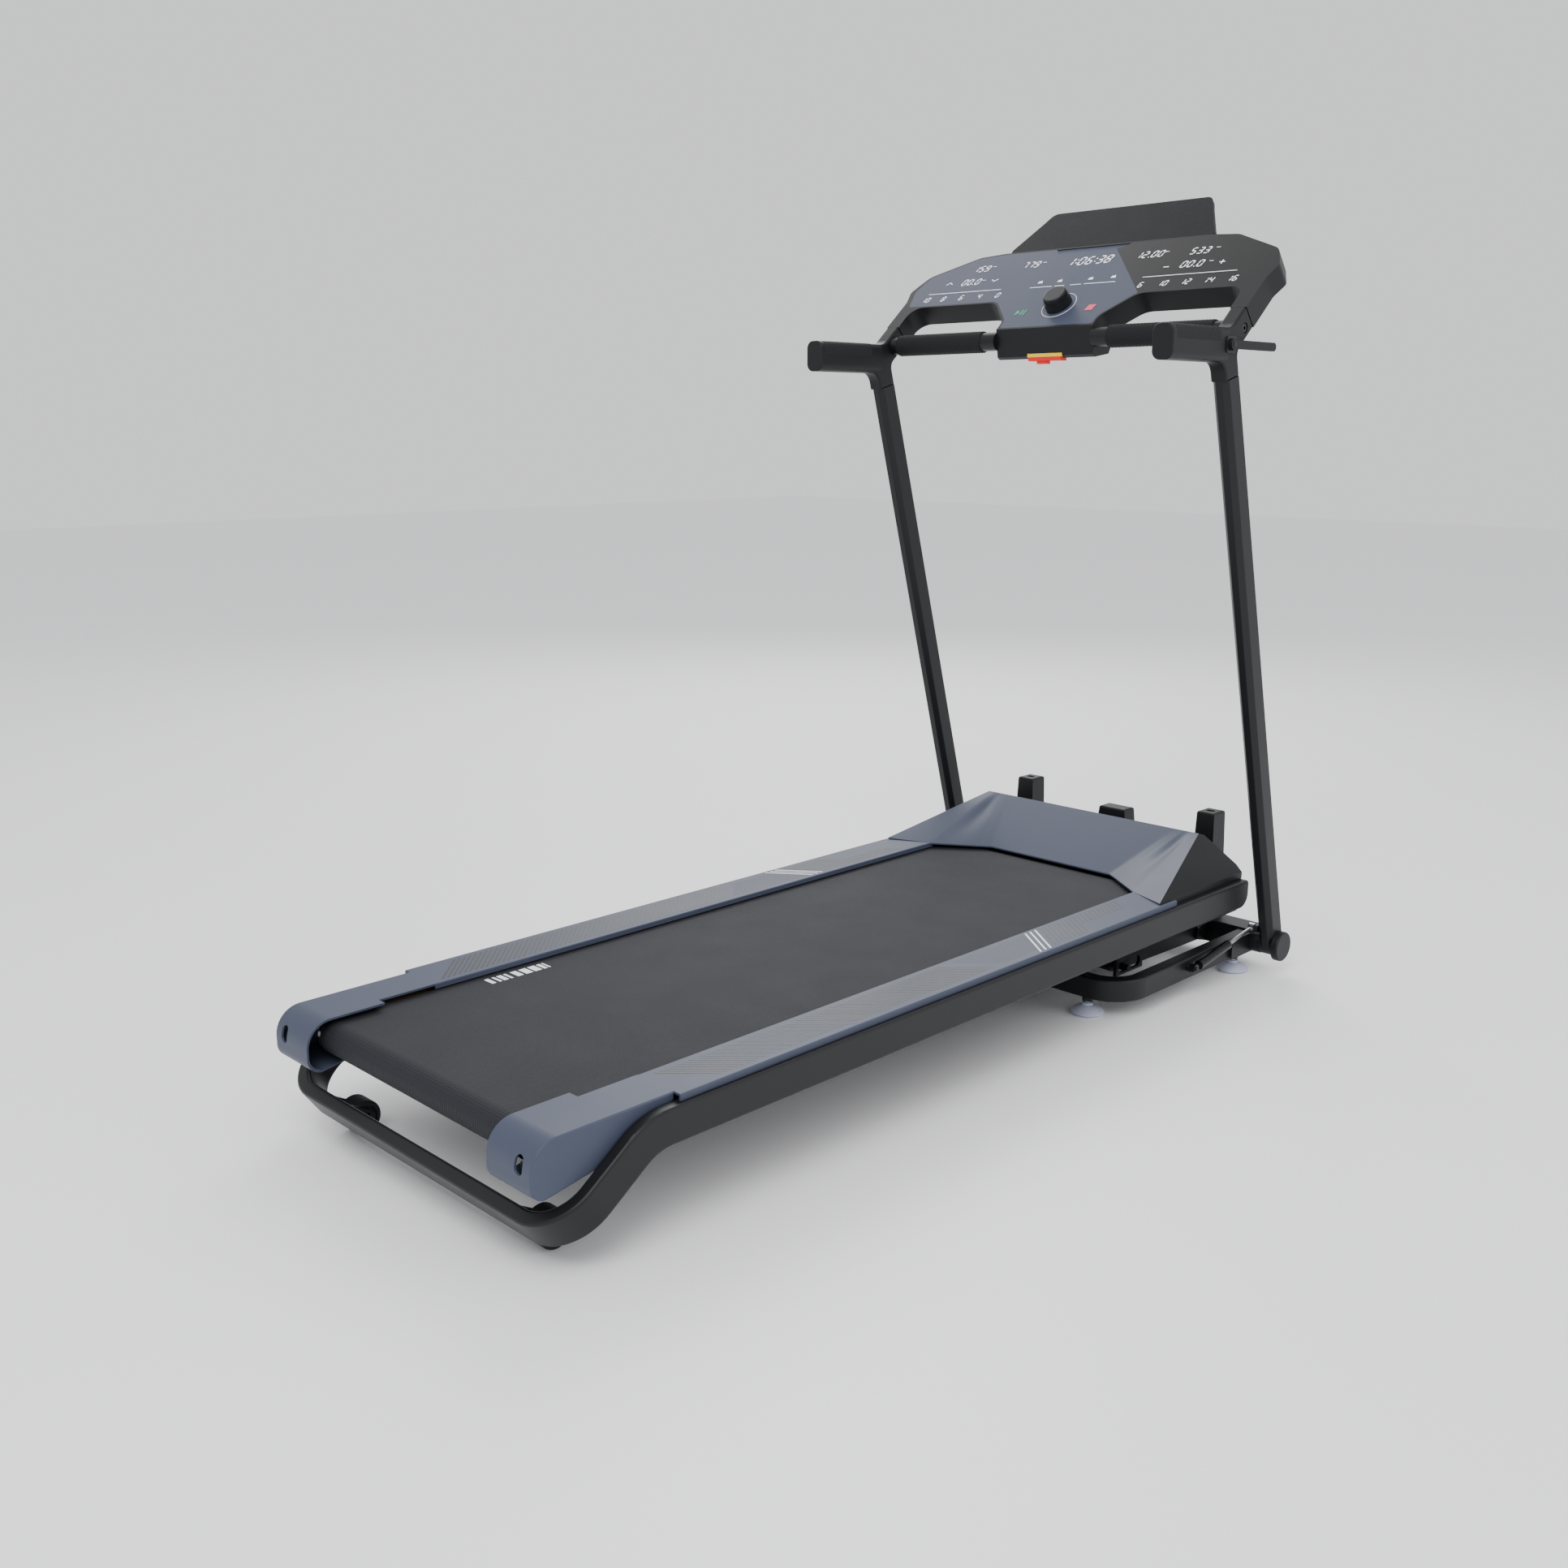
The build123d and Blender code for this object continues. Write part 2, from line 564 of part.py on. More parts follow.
CAP_FRONT = [(RAIL_REAR_X, DECK_TOP), (RAIL_REAR_X, TUBE_TOP - 2), (X_FOOT + 112, 152)]
CAP_HOLLOW_FRONT = [(RAIL_REAR_X + 1, DECK_TOP - SKIN), (RAIL_REAR_X + 1, CAP_LOW), (CAP_FLOOR_X, CAP_LOW)]
rear_caps = []
for side, tag in SIDES:
    with BuildPart() as rear_cap:
        with BuildSketch(xz_at(side * CAP_IN)):
            add(cap_profile(0, CAP_FRONT))
            make_face()
        extrude(amount=-side * (CAP_OUT - CAP_IN))
        fillet(rear_cap.faces().sort_by(Axis.Y)[-1 if side > 0 else 0].edges(), 2.5)
        with BuildSketch(xz_at(side * (CAP_IN - 1))):
            add(cap_profile(SKIN, CAP_HOLLOW_FRONT))
            make_face()
        extrude(amount=-side * (CAP_OUT - CAP_IN - SKIN + 1), mode=Mode.SUBTRACT)
        # step where the cap narrows to the width of the rail
        with BuildSketch(Plane.XY.offset(CAP_LOW - 10)):
            with Locations(((CAP_STEP_X + RAIL_REAR_X + 20) / 2, side * (CAP_IN + RAIL_IN) / 2)):
                Rectangle(RAIL_REAR_X + 20 - CAP_STEP_X, RAIL_IN - CAP_IN)
        extrude(amount=100, mode=Mode.SUBTRACT)
        # slot that the tension bolt is reached through
        with BuildSketch(Plane.YZ.offset(CAP_NOSE - 5)):
            with Locations((side * BOLT_Y, ROLLER_Z + 3)):
                SlotOverall(24, 15, rotation=90)
        extrude(amount=20, mode=Mode.SUBTRACT)
        # pad that seats the cap on the inner rail
        with BuildSketch(xz_at(side * (CAP_OUT - SKIN / 2))):
            with Locations((X_FOOT + 50, (MEMBER_LOW + MEMBER_H + BOARD_TOP) / 2)):
                Rectangle(40, 14)
        extrude(amount=side * (CAP_OUT - SKIN / 2 - AXLE_END))
    rear_caps.append(rear_cap)
save_together(rear_caps, "rear_caps")

# ================================================================ motor hood
HOOD_LOW = DECK_TOP
HOOD_SIDE_TOP = 181.0
HOOD_CREST_HALF = HOOD_HALF - (HOOD_CREST_Z - HOOD_SIDE_TOP)
HOOD_BEND_X = X_FOOT + 1311.0
HOOD_BEND_Y = 138.0
HOOD_EDGE_Z = 176.0       # rear edge, just over the belt
HOOD_STEP = 36.0          # from the outer corner forward to the belt's edge
HOOD_CORNER = 12.0
BROW_DROP = 4.0
TRAY_T = 4.0
PAN_T = 3.0


def hood_form(rear_shift, drop):
    """Solid form of the hood, moved to the rear and down by these amounts."""
    rear = (
        (HOOD_REAR_X, HOOD_HALF, HOOD_SIDE_TOP),
        (HOOD_REAR_X + HOOD_STEP, RAIL_IN, HOOD_EDGE_Z + 2),
        (HOOD_BEND_X - HOOD_CORNER, HOOD_BEND_Y + HOOD_CORNER, HOOD_EDGE_Z),
        (HOOD_BEND_X, HOOD_BEND_Y - HOOD_CORNER / 2, HOOD_EDGE_Z),
    )
    crest = (HOOD_CREST_X, HOOD_CREST_HALF, HOOD_CREST_Z)
    brow = (HOOD_CREST_X + HOOD_CORNER, HOOD_CREST_HALF + BROW_DROP, HOOD_CREST_Z - BROW_DROP)
    chin = (HOOD_FRONT_X, HOOD_HALF - HOOD_CORNER, HOOD_SIDE_TOP + HOOD_CORNER)
    corner = (HOOD_FRONT_X, HOOD_HALF, HOOD_SIDE_TOP)

    def flip(point):
        return (point[0], -point[1], point[2])

    def floor(point):
        return (point[0], point[1], TUBE_TOP)

    one_side = [[rear[0], rear[1], crest], [rear[1], rear[2], crest], [rear[2], rear[3], crest]]
    one_side += [[rear[0], crest, brow, chin, corner]]
    one_side += [[rear[0], corner, floor(corner), floor(rear[0])]]
    one_side += [[rear[k], floor(rear[k]), floor(rear[k + 1]), rear[k + 1]] for k in range(3)]
    polygons = one_side + [[flip(point) for point in polygon] for polygon in one_side]
    for one, other in ((rear[3], crest), (crest, brow), (brow, chin)):
        polygons.append([one, other, flip(other), flip(one)])
    polygons += [[rear[3], floor(rear[3]), flip(floor(rear[3])), flip(rear[3])]]
    polygons += [[chin, corner, floor(corner), flip(floor(corner)), flip(corner), flip(chin)]]
    edge = [floor(point) for point in rear]
    polygons += [edge + [flip(point) for point in reversed(edge)] + [flip(floor(corner)), floor(corner)]]
    form = Solid(Shell([Face(Wire.make_polygon(polygon)) for polygon in polygons]))
    return form.moved(Location((-rear_shift, 0, -drop)))


hood_outer = hood_form(0, 0)
hood_inner = hood_form(2, SKIN + 1.4)
with BuildPart() as hood_hollow:
    add(hood_inner)
    with BuildSketch(Plane.XY.offset(TUBE_TOP - 20)):
        with Locations(((HOOD_REAR_X - 10 + HOOD_FRONT_X - SKIN) / 2, 0)):
            Rectangle(HOOD_FRONT_X - SKIN - HOOD_REAR_X + 10, 2 * (HOOD_HALF - SKIN))
    extrude(amount=HOOD_CREST_Z, mode=Mode.INTERSECT)
with BuildPart() as hood_whole:
    add(hood_outer)
    add(hood_hollow.part, mode=Mode.SUBTRACT)
    # over the foot rails the hood stops at their top face
    with BuildSketch(Plane.XY.offset(TUBE_TOP - 2)):
        with Locations((RAIL_FRONT_X - 100 + FIT, 0)):
            Rectangle(200, 2 * HOOD_HALF + 20)
    extrude(amount=HOOD_LOW - TUBE_TOP + 2, mode=Mode.SUBTRACT)

# the upper panel's area, seen from above
with BuildSketch(Plane.XY.offset(TUBE_TOP - 2)) as panel_area:
    with BuildLine():
        Polyline(
            (HOOD_REAR_X - 1, HOOD_HALF + 1),
            (HOOD_CREST_X, HOOD_CREST_HALF),
            (HOOD_CREST_X, -HOOD_CREST_HALF),
            (HOOD_REAR_X - 1, -HOOD_HALF - 1),
            close=True,
        )
    make_face()

with BuildPart() as motor_hood:
    add(hood_whole.part)
    extrude(panel_area.sketch, amount=HOOD_CREST_Z, mode=Mode.INTERSECT)
save(motor_hood, "motor_hood")

with BuildPart() as hood_shroud:
    add(hood_whole.part)
    extrude(panel_area.sketch, amount=HOOD_CREST_Z, mode=Mode.SUBTRACT)

# front wall between the side tubes, with the power inlet and the switch
INLET_Y = -120.0
SWITCH_Y = -170.0
PORT_Z = 150.0
INLET_W, INLET_H = 32.0, 24.0
SWITCH_W, SWITCH_H = 22.0, 28.0
with BuildPart() as front_wall:
    with BuildSketch(Plane.YZ.offset(HOOD_FRONT_X - SKIN)):
        with Locations((0, (TUBE_TOP + TUBE_LOW) / 2)):
            Rectangle(2 * TUBE_IN, TUBE_H)
        with Locations((INLET_Y, PORT_Z)):
            Rectangle(INLET_W, INLET_H, mode=Mode.SUBTRACT)
        with Locations((SWITCH_Y, PORT_Z)):
            Rectangle(SWITCH_W, SWITCH_H, mode=Mode.SUBTRACT)
    extrude(amount=SKIN)
save_together((hood_shroud, front_wall), "hood_shroud")

with BuildPart() as power_inlet:
    with BuildSketch(Plane.YZ.offset(HOOD_FRONT_X - 22)):
        with Locations((INLET_Y, PORT_Z)):
            Rectangle(INLET_W, INLET_H)
    extrude(amount=22)
    with BuildSketch(Plane.YZ.offset(HOOD_FRONT_X)):
        with Locations((INLET_Y, PORT_Z)):
            RectangleRounded(INLET_W + 8, INLET_H + 6, 3)
            Rectangle(24, 17, mode=Mode.SUBTRACT)
    extrude(amount=2)
    with BuildSketch(Plane.YZ.offset(HOOD_FRONT_X)):
        with Locations((INLET_Y, PORT_Z)):
            Rectangle(24, 17)
    extrude(amount=-16, mode=Mode.SUBTRACT)
    with BuildSketch(Plane.YZ.offset(HOOD_FRONT_X - 16)):
        with Locations((INLET_Y - 7, PORT_Z - 2), (INLET_Y, PORT_Z + 2), (INLET_Y + 7, PORT_Z - 2)):
            Rectangle(2, 4)
    extrude(amount=12)
save(power_inlet, "power_inlet")

with BuildPart() as switch_frame:
    with BuildSketch(Plane.YZ.offset(HOOD_FRONT_X)):
        with Locations((SWITCH_Y, PORT_Z)):
            RectangleRounded(SWITCH_W + 6, SWITCH_H + 6, 2)
            Rectangle(SWITCH_W - 4, SWITCH_H - 4, mode=Mode.SUBTRACT)
    extrude(amount=2)
    with BuildSketch(Plane.YZ.offset(HOOD_FRONT_X - 18)):
        with Locations((SWITCH_Y, PORT_Z)):
            Rectangle(SWITCH_W, SWITCH_H)
            Rectangle(SWITCH_W - 4, SWITCH_H - 4, mode=Mode.SUBTRACT)
    extrude(amount=18)
save(switch_frame, "switch_frame")

ROCKER_R = 15.0
with BuildPart() as switch_rocker:
    with BuildSketch(xz_at(SWITCH_Y)):
        with Locations((HOOD_FRONT_X - ROCKER_R + 4, PORT_Z)):
            Circle(ROCKER_R)
        with Locations((HOOD_FRONT_X - 12, PORT_Z)):
            Rectangle(2 * ROCKER_R, SWITCH_H - 8, mode=Mode.INTERSECT)
        with Locations((HOOD_FRONT_X + 14, PORT_Z + 6)):
            Circle(12, mode=Mode.SUBTRACT)
    extrude(amount=(SWITCH_W - 4) / 2 - FIT, both=True)
save(switch_rocker, "switch_rocker")

# ---------------------------------------------------------------- drive under the hood
MOTOR_X = X_FOOT + 1385.0
MOTOR_Z = 165.0
MOTOR_R = 34.0
MOTOR_PULLEY_R = 17.0
DRIVE_T = 3.0
TRAY_REAR_X = ROLLER_FRONT_X + ROLLER_R + 8
TRAY_FRONT_X = HOOD_FRONT_X - SKIN
with BuildPart() as motor_tray:
    with BuildSketch(Plane.XY.offset(TUBE_LOW)):
        with Locations(((TRAY_REAR_X + TRAY_FRONT_X) / 2, 0)):
            Rectangle(TRAY_FRONT_X - TRAY_REAR_X, 2 * TUBE_IN)
    extrude(amount=TRAY_T)
    with BuildSketch(Plane.XY.offset(TUBE_LOW + TRAY_T)):
        with Locations((MOTOR_X, 140)):
            Rectangle(50, 120)
    extrude(amount=MOTOR_Z - TUBE_LOW - TRAY_T)
    with BuildSketch(xz_at(140)):
        with Locations((MOTOR_X, MOTOR_Z)):
            Circle(MOTOR_R)
    extrude(amount=100, both=True, mode=Mode.SUBTRACT)
save(motor_tray, "motor_tray")

PAN_REAR_X = ROLLER_FRONT_X + 10
PAN_FRONT_X = TUBE_FRONT_X - 28
with BuildPart() as belly_pan:
    with BuildSketch(Plane.XY.offset(TUBE_LOW)):
        with Locations(((PAN_REAR_X + PAN_FRONT_X) / 2, 0)):
            Rectangle(PAN_FRONT_X - PAN_REAR_X, 2 * (DECK_HALF - 6))
    extrude(amount=-PAN_T)
    with BuildSketch(Plane.XY.offset(TUBE_LOW)):
        with GridLocations(0, 24, 1, 9):
            with Locations((MOTOR_X, 0)):
                SlotOverall(60, 6)
    extrude(amount=-PAN_T, mode=Mode.SUBTRACT)
save(belly_pan, "belly_pan")

with BuildPart() as drive_motor:
    with BuildSketch(xz_at(140)):
        with Locations((MOTOR_X, MOTOR_Z)):
            Circle(MOTOR_R)
    extrude(amount=72, both=True)
    fillet(drive_motor.edges(), 5)
    with BuildSketch(xz_at(212)):
        with Locations((MOTOR_X, MOTOR_Z)):
            Circle(14)
            Circle(8, mode=Mode.SUBTRACT)
    extrude(amount=-6)
    with BuildSketch(xz_at(218)):
        with Locations((MOTOR_X, MOTOR_Z)):
            Circle(6 + RUN)
    extrude(amount=26, mode=Mode.SUBTRACT)
save(drive_motor, "drive_motor")

with BuildPart() as motor_pulley:
    with BuildSketch(xz_at(PULLEY_Y)):
        with Locations((MOTOR_X, MOTOR_Z)):
            Circle(MOTOR_PULLEY_R)
    extrude(amount=PULLEY_W / 2, both=True)
    with BuildSketch(xz_at(PULLEY_Y)):
        with Locations((MOTOR_X, MOTOR_Z)):
            Circle(6)
    extrude(amount=PULLEY_Y - 194)
save(motor_pulley, "motor_pulley")

with BuildPart() as drive_belt:
    for grow, mode in ((FIT + DRIVE_T, Mode.ADD), (FIT, Mode.SUBTRACT)):
        with BuildSketch(xz_at(PULLEY_Y)):
            with Locations((ROLLER_FRONT_X, ROLLER_Z)):
                Circle(DRIVEN_R + grow)
            with Locations((MOTOR_X, MOTOR_Z)):
                Circle(MOTOR_PULLEY_R + grow)
            make_hull()
        extrude(amount=PULLEY_W / 2 - 2, both=True, mode=mode)
save(drive_belt, "drive_belt")

with BuildPart() as controller:
    with BuildSketch(Plane.XY.offset(TUBE_LOW + TRAY_T)):
        with Locations((MOTOR_X, -150)):
            Rectangle(96, 150)
    extrude(amount=12)
    with BuildSketch(Plane.XY.offset(TUBE_LOW + TRAY_T + 12)):
        with Locations((MOTOR_X, -150)):
            with GridLocations(0, 14, 1, 10):
                Rectangle(96, 3)
    extrude(amount=26)
save(controller, "controller")

with BuildPart() as lift_motor:
    with BuildSketch(Plane.XY.offset(TUBE_LOW + TRAY_T)):
        with Locations((MOTOR_X, 0)):
            RectangleRounded(90, 70, 6)
    extrude(amount=44)
    with BuildSketch(Plane.YZ.offset(MOTOR_X + 45)):
        with Locations((0, TUBE_LOW + TRAY_T + 22)):
            Circle(14)
    extrude(amount=TRAY_FRONT_X - MOTOR_X - 45 - 4)
save(lift_motor, "lift_motor")

# slotted plates under the deck that the lift frame's pins run in
SLOT_X = LIFT_REAR_X + 21
SLOT_LENGTH = 66.0
SLOT_H = 2 * LIFT_PIN_R + 8
PLATE_Y = (LIFT_Y + LIFT_W / 2 + PIN_OUT) / 2
with BuildPart() as lift_plates:
    for side, tag in SIDES:
        with BuildSketch(xz_at(side * PLATE_Y)):
            with BuildLine():
                Polyline(
                    (SLOT_X - 40, LIFT_REAR_Z - 14),
                    (SLOT_X + 40, LIFT_REAR_Z - 14),
                    (SLOT_X + 40, TUBE_LOW - PAN_T - 1),
                    (MEMBER_XS[-1] + 20, MEMBER_LOW),
                    (MEMBER_XS[-1] - 20, MEMBER_LOW),
                    (SLOT_X - 40, LIFT_REAR_Z + 20),
                    close=True,
                )
            make_face()
            with Locations((SLOT_X, LIFT_REAR_Z)):
                SlotOverall(SLOT_LENGTH, SLOT_H, mode=Mode.SUBTRACT)
        extrude(amount=3, both=True)
save_together((cross_members, lift_plates), "cross_members")

# ================================================================ uprights
UP_X_DIR = Vector(cos(radians(LEAN)), 0, sin(radians(LEAN)))
HINGE = Vector(HINGE_X, 0, HINGE_Z)
SEAM = HINGE + UP_AXIS * UP_LENGTH
SEAM_REAR = SEAM - UP_X_DIR * (UP_D / 2)
SEAM_FRONT = SEAM + UP_X_DIR * (UP_D / 2)
DISC_R = 26.5
DISC_T = HANDLE_OUT + MOUNT_T + LEVER_T + 1.0 - UP_OUT    # as far out as the lever's stud
hinge_pins = []
for side, tag in SIDES:
    with BuildPart() as upright:
        foot_of_upright = Vector(HINGE_X, side * UP_Y, HINGE_Z)
        with BuildSketch(Plane(origin=foot_of_upright, x_dir=UP_X_DIR, z_dir=UP_AXIS)) as section:
            Rectangle(UP_D, UP_W)
            chamfer(section.vertices().group_by(Axis.X)[0], 8)
            fillet(section.vertices(), 3)
        extrude(amount=UP_LENGTH)
        with BuildSketch(xz_at(side * UP_Y)):
            with Locations((HINGE_X, HINGE_Z)):
                Circle(UP_D / 2)
        extrude(amount=UP_W / 2, both=True)
        with BuildSketch(xz_at(side * UP_Y)):
            with Locations((HINGE_X, HINGE_Z)):
                Circle(PIN_R)
        extrude(amount=UP_W, both=True, mode=Mode.SUBTRACT)
    save(upright, f"upright_{tag}")

    with BuildPart() as hinge_pin:
        with BuildSketch(xz_at(side * UP_OUT)):
            with Locations((HINGE_X, HINGE_Z)):
                Circle(DISC_R)
        extrude(amount=-side * DISC_T)
        fillet(hinge_pin.edges().filter_by(GeomType.CIRCLE).sort_by(Axis.Y)[-1 if side > 0 else 0], 3)
        with BuildSketch(xz_at(side * (BASE_HALF + 1))):
            with Locations((HINGE_X, HINGE_Z)):
                Circle(PIN_R)
        extrude(amount=-side * (UP_OUT - BASE_HALF - 1))
    hinge_pins.append(hinge_pin)
save_together(hinge_pins, "hinge_pins")

# handle housings: the upright, the side handle and the console arm meet in them
SEAM_UP = 23.0           # where the console arm starts, up the face
ARM_X = cos(radians(FACE_SLOPE))
ARM_Z = sin(radians(FACE_SLOPE))
ARM_REAR = (FACE_X + ARM_X * SEAM_UP, FACE_Z + ARM_Z * SEAM_UP)
ARM_FRONT = (ARM_REAR[0] + ARM_Z * UP_D, ARM_REAR[1] - ARM_X * UP_D)
HANDLE_LOW = HANDLE_Z - HANDLE_H / 2
HANDLE_TOP = HANDLE_Z + HANDLE_H / 2
CHEEK_IN = 1.0           # the cheeks that run into the handle start this far inside it
THROAT_X = SEAM_REAR.X - (HANDLE_LOW + CHEEK_IN - SEAM_REAR.Z) * tan(radians(LEAN))
SHOULDER_X = FACE_X - (FACE_Z - HANDLE_TOP + CHEEK_IN) / tan(radians(FACE_SLOPE))
# where the underside of the arm meets the front of the upright
CROTCH_T = (ARM_FRONT[0] - SEAM_FRONT.X + (ARM_FRONT[1] - SEAM_FRONT.Z) * tan(radians(LEAN))) / (
    ARM_X + ARM_Z * tan(radians(LEAN))
)
CROTCH = (ARM_FRONT[0] - ARM_X * CROTCH_T, ARM_FRONT[1] - ARM_Z * CROTCH_T)
HANDLE_END_T = 6.0
CORE_REAR = HANDLE_REAR + HANDLE_END_T
GRIP_REAR = HANDLE_REAR + 9.0
GRIP_FRONT = X_FOOT + 1178.0
GRIP_T = 4.0
BOLT_X = X_FOOT + 1252.0
BOLT_Z = 1098.0
handle_grips = []
handle_caps = []
for side, tag in SIDES:
    with BuildPart() as housing:
        with BuildSketch(xz_at(side * UP_Y)):
            with BuildLine():
                FilletPolyline(
                    (SEAM_REAR.X, SEAM_REAR.Z),
                    (THROAT_X, HANDLE_LOW + CHEEK_IN),
                    (CORE_REAR + 90, HANDLE_LOW + CHEEK_IN),
                    (CORE_REAR + 90, HANDLE_TOP - CHEEK_IN),
                    (SHOULDER_X, HANDLE_TOP - CHEEK_IN),
                    ARM_REAR,
                    ARM_FRONT,
                    CROTCH,
                    (SEAM_FRONT.X, SEAM_FRONT.Z),
                    radius=[24, 0.5, 0.5, 30, 0.5, 0.5, 16],
                )
                Line((SEAM_FRONT.X, SEAM_FRONT.Z), (SEAM_REAR.X, SEAM_REAR.Z))
            make_face()
        extrude(amount=UP_W / 2, both=True)
        fillet(housing.faces().filter_by(Plane.XZ).edges().filter_by(lambda e: e.length > 12), 4)
        with BuildSketch(Plane.YZ.offset(CORE_REAR)):
            with Locations((side * UP_Y, HANDLE_Z)):
                RectangleRounded(HANDLE_W, HANDLE_H, 13)
        extrude(amount=SHOULDER_X - 12 - CORE_REAR)
        # seat of the grip round the upper half of the handle
        with BuildSketch(Plane.YZ.offset(GRIP_REAR)):
            with Locations((side * UP_Y, HANDLE_Z)):
                RectangleRounded(HANDLE_W + 2, HANDLE_H + 2, 13)
                RectangleRounded(HANDLE_W - 2 * GRIP_T, HANDLE_H - 2 * GRIP_T, 9, mode=Mode.SUBTRACT)
            with Locations((side * UP_Y, HANDLE_Z - HANDLE_H / 2 + 4)):
                Rectangle(HANDLE_W + 4, HANDLE_H, mode=Mode.SUBTRACT)
        extrude(amount=GRIP_FRONT - GRIP_REAR, mode=Mode.SUBTRACT)
        # recess of the bolt that holds the console arm
        with BuildSketch(xz_at(side * UP_OUT)):
            with Locations((BOLT_X, BOLT_Z)):
                Circle(8)
        extrude(amount=side * 5, mode=Mode.SUBTRACT)
    save(housing, f"handle_housing_{tag}")

    with BuildPart() as handle_grip:
        with BuildSketch(Plane.YZ.offset(GRIP_REAR)):
            with Locations((side * UP_Y, HANDLE_Z)):
                RectangleRounded(HANDLE_W, HANDLE_H, 13)
                RectangleRounded(HANDLE_W - 2 * GRIP_T, HANDLE_H - 2 * GRIP_T, 9, mode=Mode.SUBTRACT)
            with Locations((side * UP_Y, HANDLE_Z - HANDLE_H / 2 + 4)):
                Rectangle(HANDLE_W + 4, HANDLE_H, mode=Mode.SUBTRACT)
        extrude(amount=GRIP_FRONT - GRIP_REAR)
    handle_grips.append(handle_grip)

    with BuildPart() as handle_cap:
        with BuildSketch(Plane.YZ.offset(HANDLE_REAR)):
            with Locations((side * UP_Y, HANDLE_Z)):
                RectangleRounded(HANDLE_W, HANDLE_H, 13)
        extrude(amount=HANDLE_END_T)
        fillet(handle_cap.faces().sort_by(Axis.X)[0].edges(), 2.5)
    handle_caps.append(handle_cap)
save_together(handle_grips, "handle_grips")
save_together(handle_caps, "handle_caps")

with BuildPart() as arm_bolts:
    for side, tag in SIDES:
        with BuildSketch(xz_at(side * (UP_OUT - 5))):
            with Locations((BOLT_X, BOLT_Z)):
                Circle(6.5)
                RegularPolygon(3, 6, mode=Mode.SUBTRACT)
        extrude(amount=-side * 4)

# cross bar halves between the housings and the console, with foam and collars
COLLAR_R = 15.5
COLLAR_IN = BLOCK_HALF + 6
FOAM_OUT = UP_IN - 15
with BuildPart() as cross_bars:
    for side, tag in SIDES:
        with BuildSketch(xz_at(side * BLOCK_HALF)):
            with Locations((GRIP_X, GRIP_Z)):
                Circle(BAR_R)
        extrude(amount=-side * (UP_IN - BLOCK_HALF))

cross_grips = []
for side, tag in SIDES:
    with BuildPart() as cross_grip:
        with BuildSketch(xz_at(side * GRIP_IN)):
            with Locations((GRIP_X, GRIP_Z)):
                Circle(GRIP_R)
                Circle(BAR_R, mode=Mode.SUBTRACT)
        extrude(amount=-side * (FOAM_OUT - GRIP_IN))
        fillet(cross_grip.edges().filter_by(GeomType.CIRCLE).group_by(SortBy.RADIUS)[-1], 2)
    cross_grips.append(cross_grip)
save_together(cross_grips, "cross_grips")

with BuildPart() as grip_collars:
    for side, tag in SIDES:
        for start, end in ((COLLAR_IN - 6, GRIP_IN), (FOAM_OUT, UP_IN)):
            with BuildSketch(xz_at(side * start)):
                with Locations((GRIP_X, GRIP_Z)):
                    Circle(COLLAR_R)
                    Circle(BAR_R, mode=Mode.SUBTRACT)
            extrude(amount=-side * (end - start))
save_together((cross_bars, grip_collars), "cross_bars")

# lever on the right housing
LEVER_X = X_FOOT + 1206.0
LEVER_Z = 1072.0
LEVER_H = 13.0
LEVER_REACH = 118.0
with BuildPart() as lever_mount:
    with BuildSketch(xz_at(-HANDLE_OUT)):
        with Locations((LEVER_X, LEVER_Z)):
            RectangleRounded(30, 24, 6)
    extrude(amount=MOUNT_T)
    with BuildSketch(xz_at(-HANDLE_OUT - MOUNT_T)):
        with Locations((LEVER_X, LEVER_Z)):
            Circle(4)
    extrude(amount=LEVER_T + 1)

with BuildPart() as lock_lever:
    with BuildSketch(xz_at(-HANDLE_OUT - MOUNT_T - FIT)):
        with Locations((LEVER_X + LEVER_REACH / 2, LEVER_Z)):
            SlotCenterToCenter(LEVER_REACH, LEVER_H)
        with Locations((LEVER_X, LEVER_Z)):
            Circle(9)
            Circle(4 + RUN, mode=Mode.SUBTRACT)
    extrude(amount=LEVER_T)
save(lock_lever, "lock_lever")

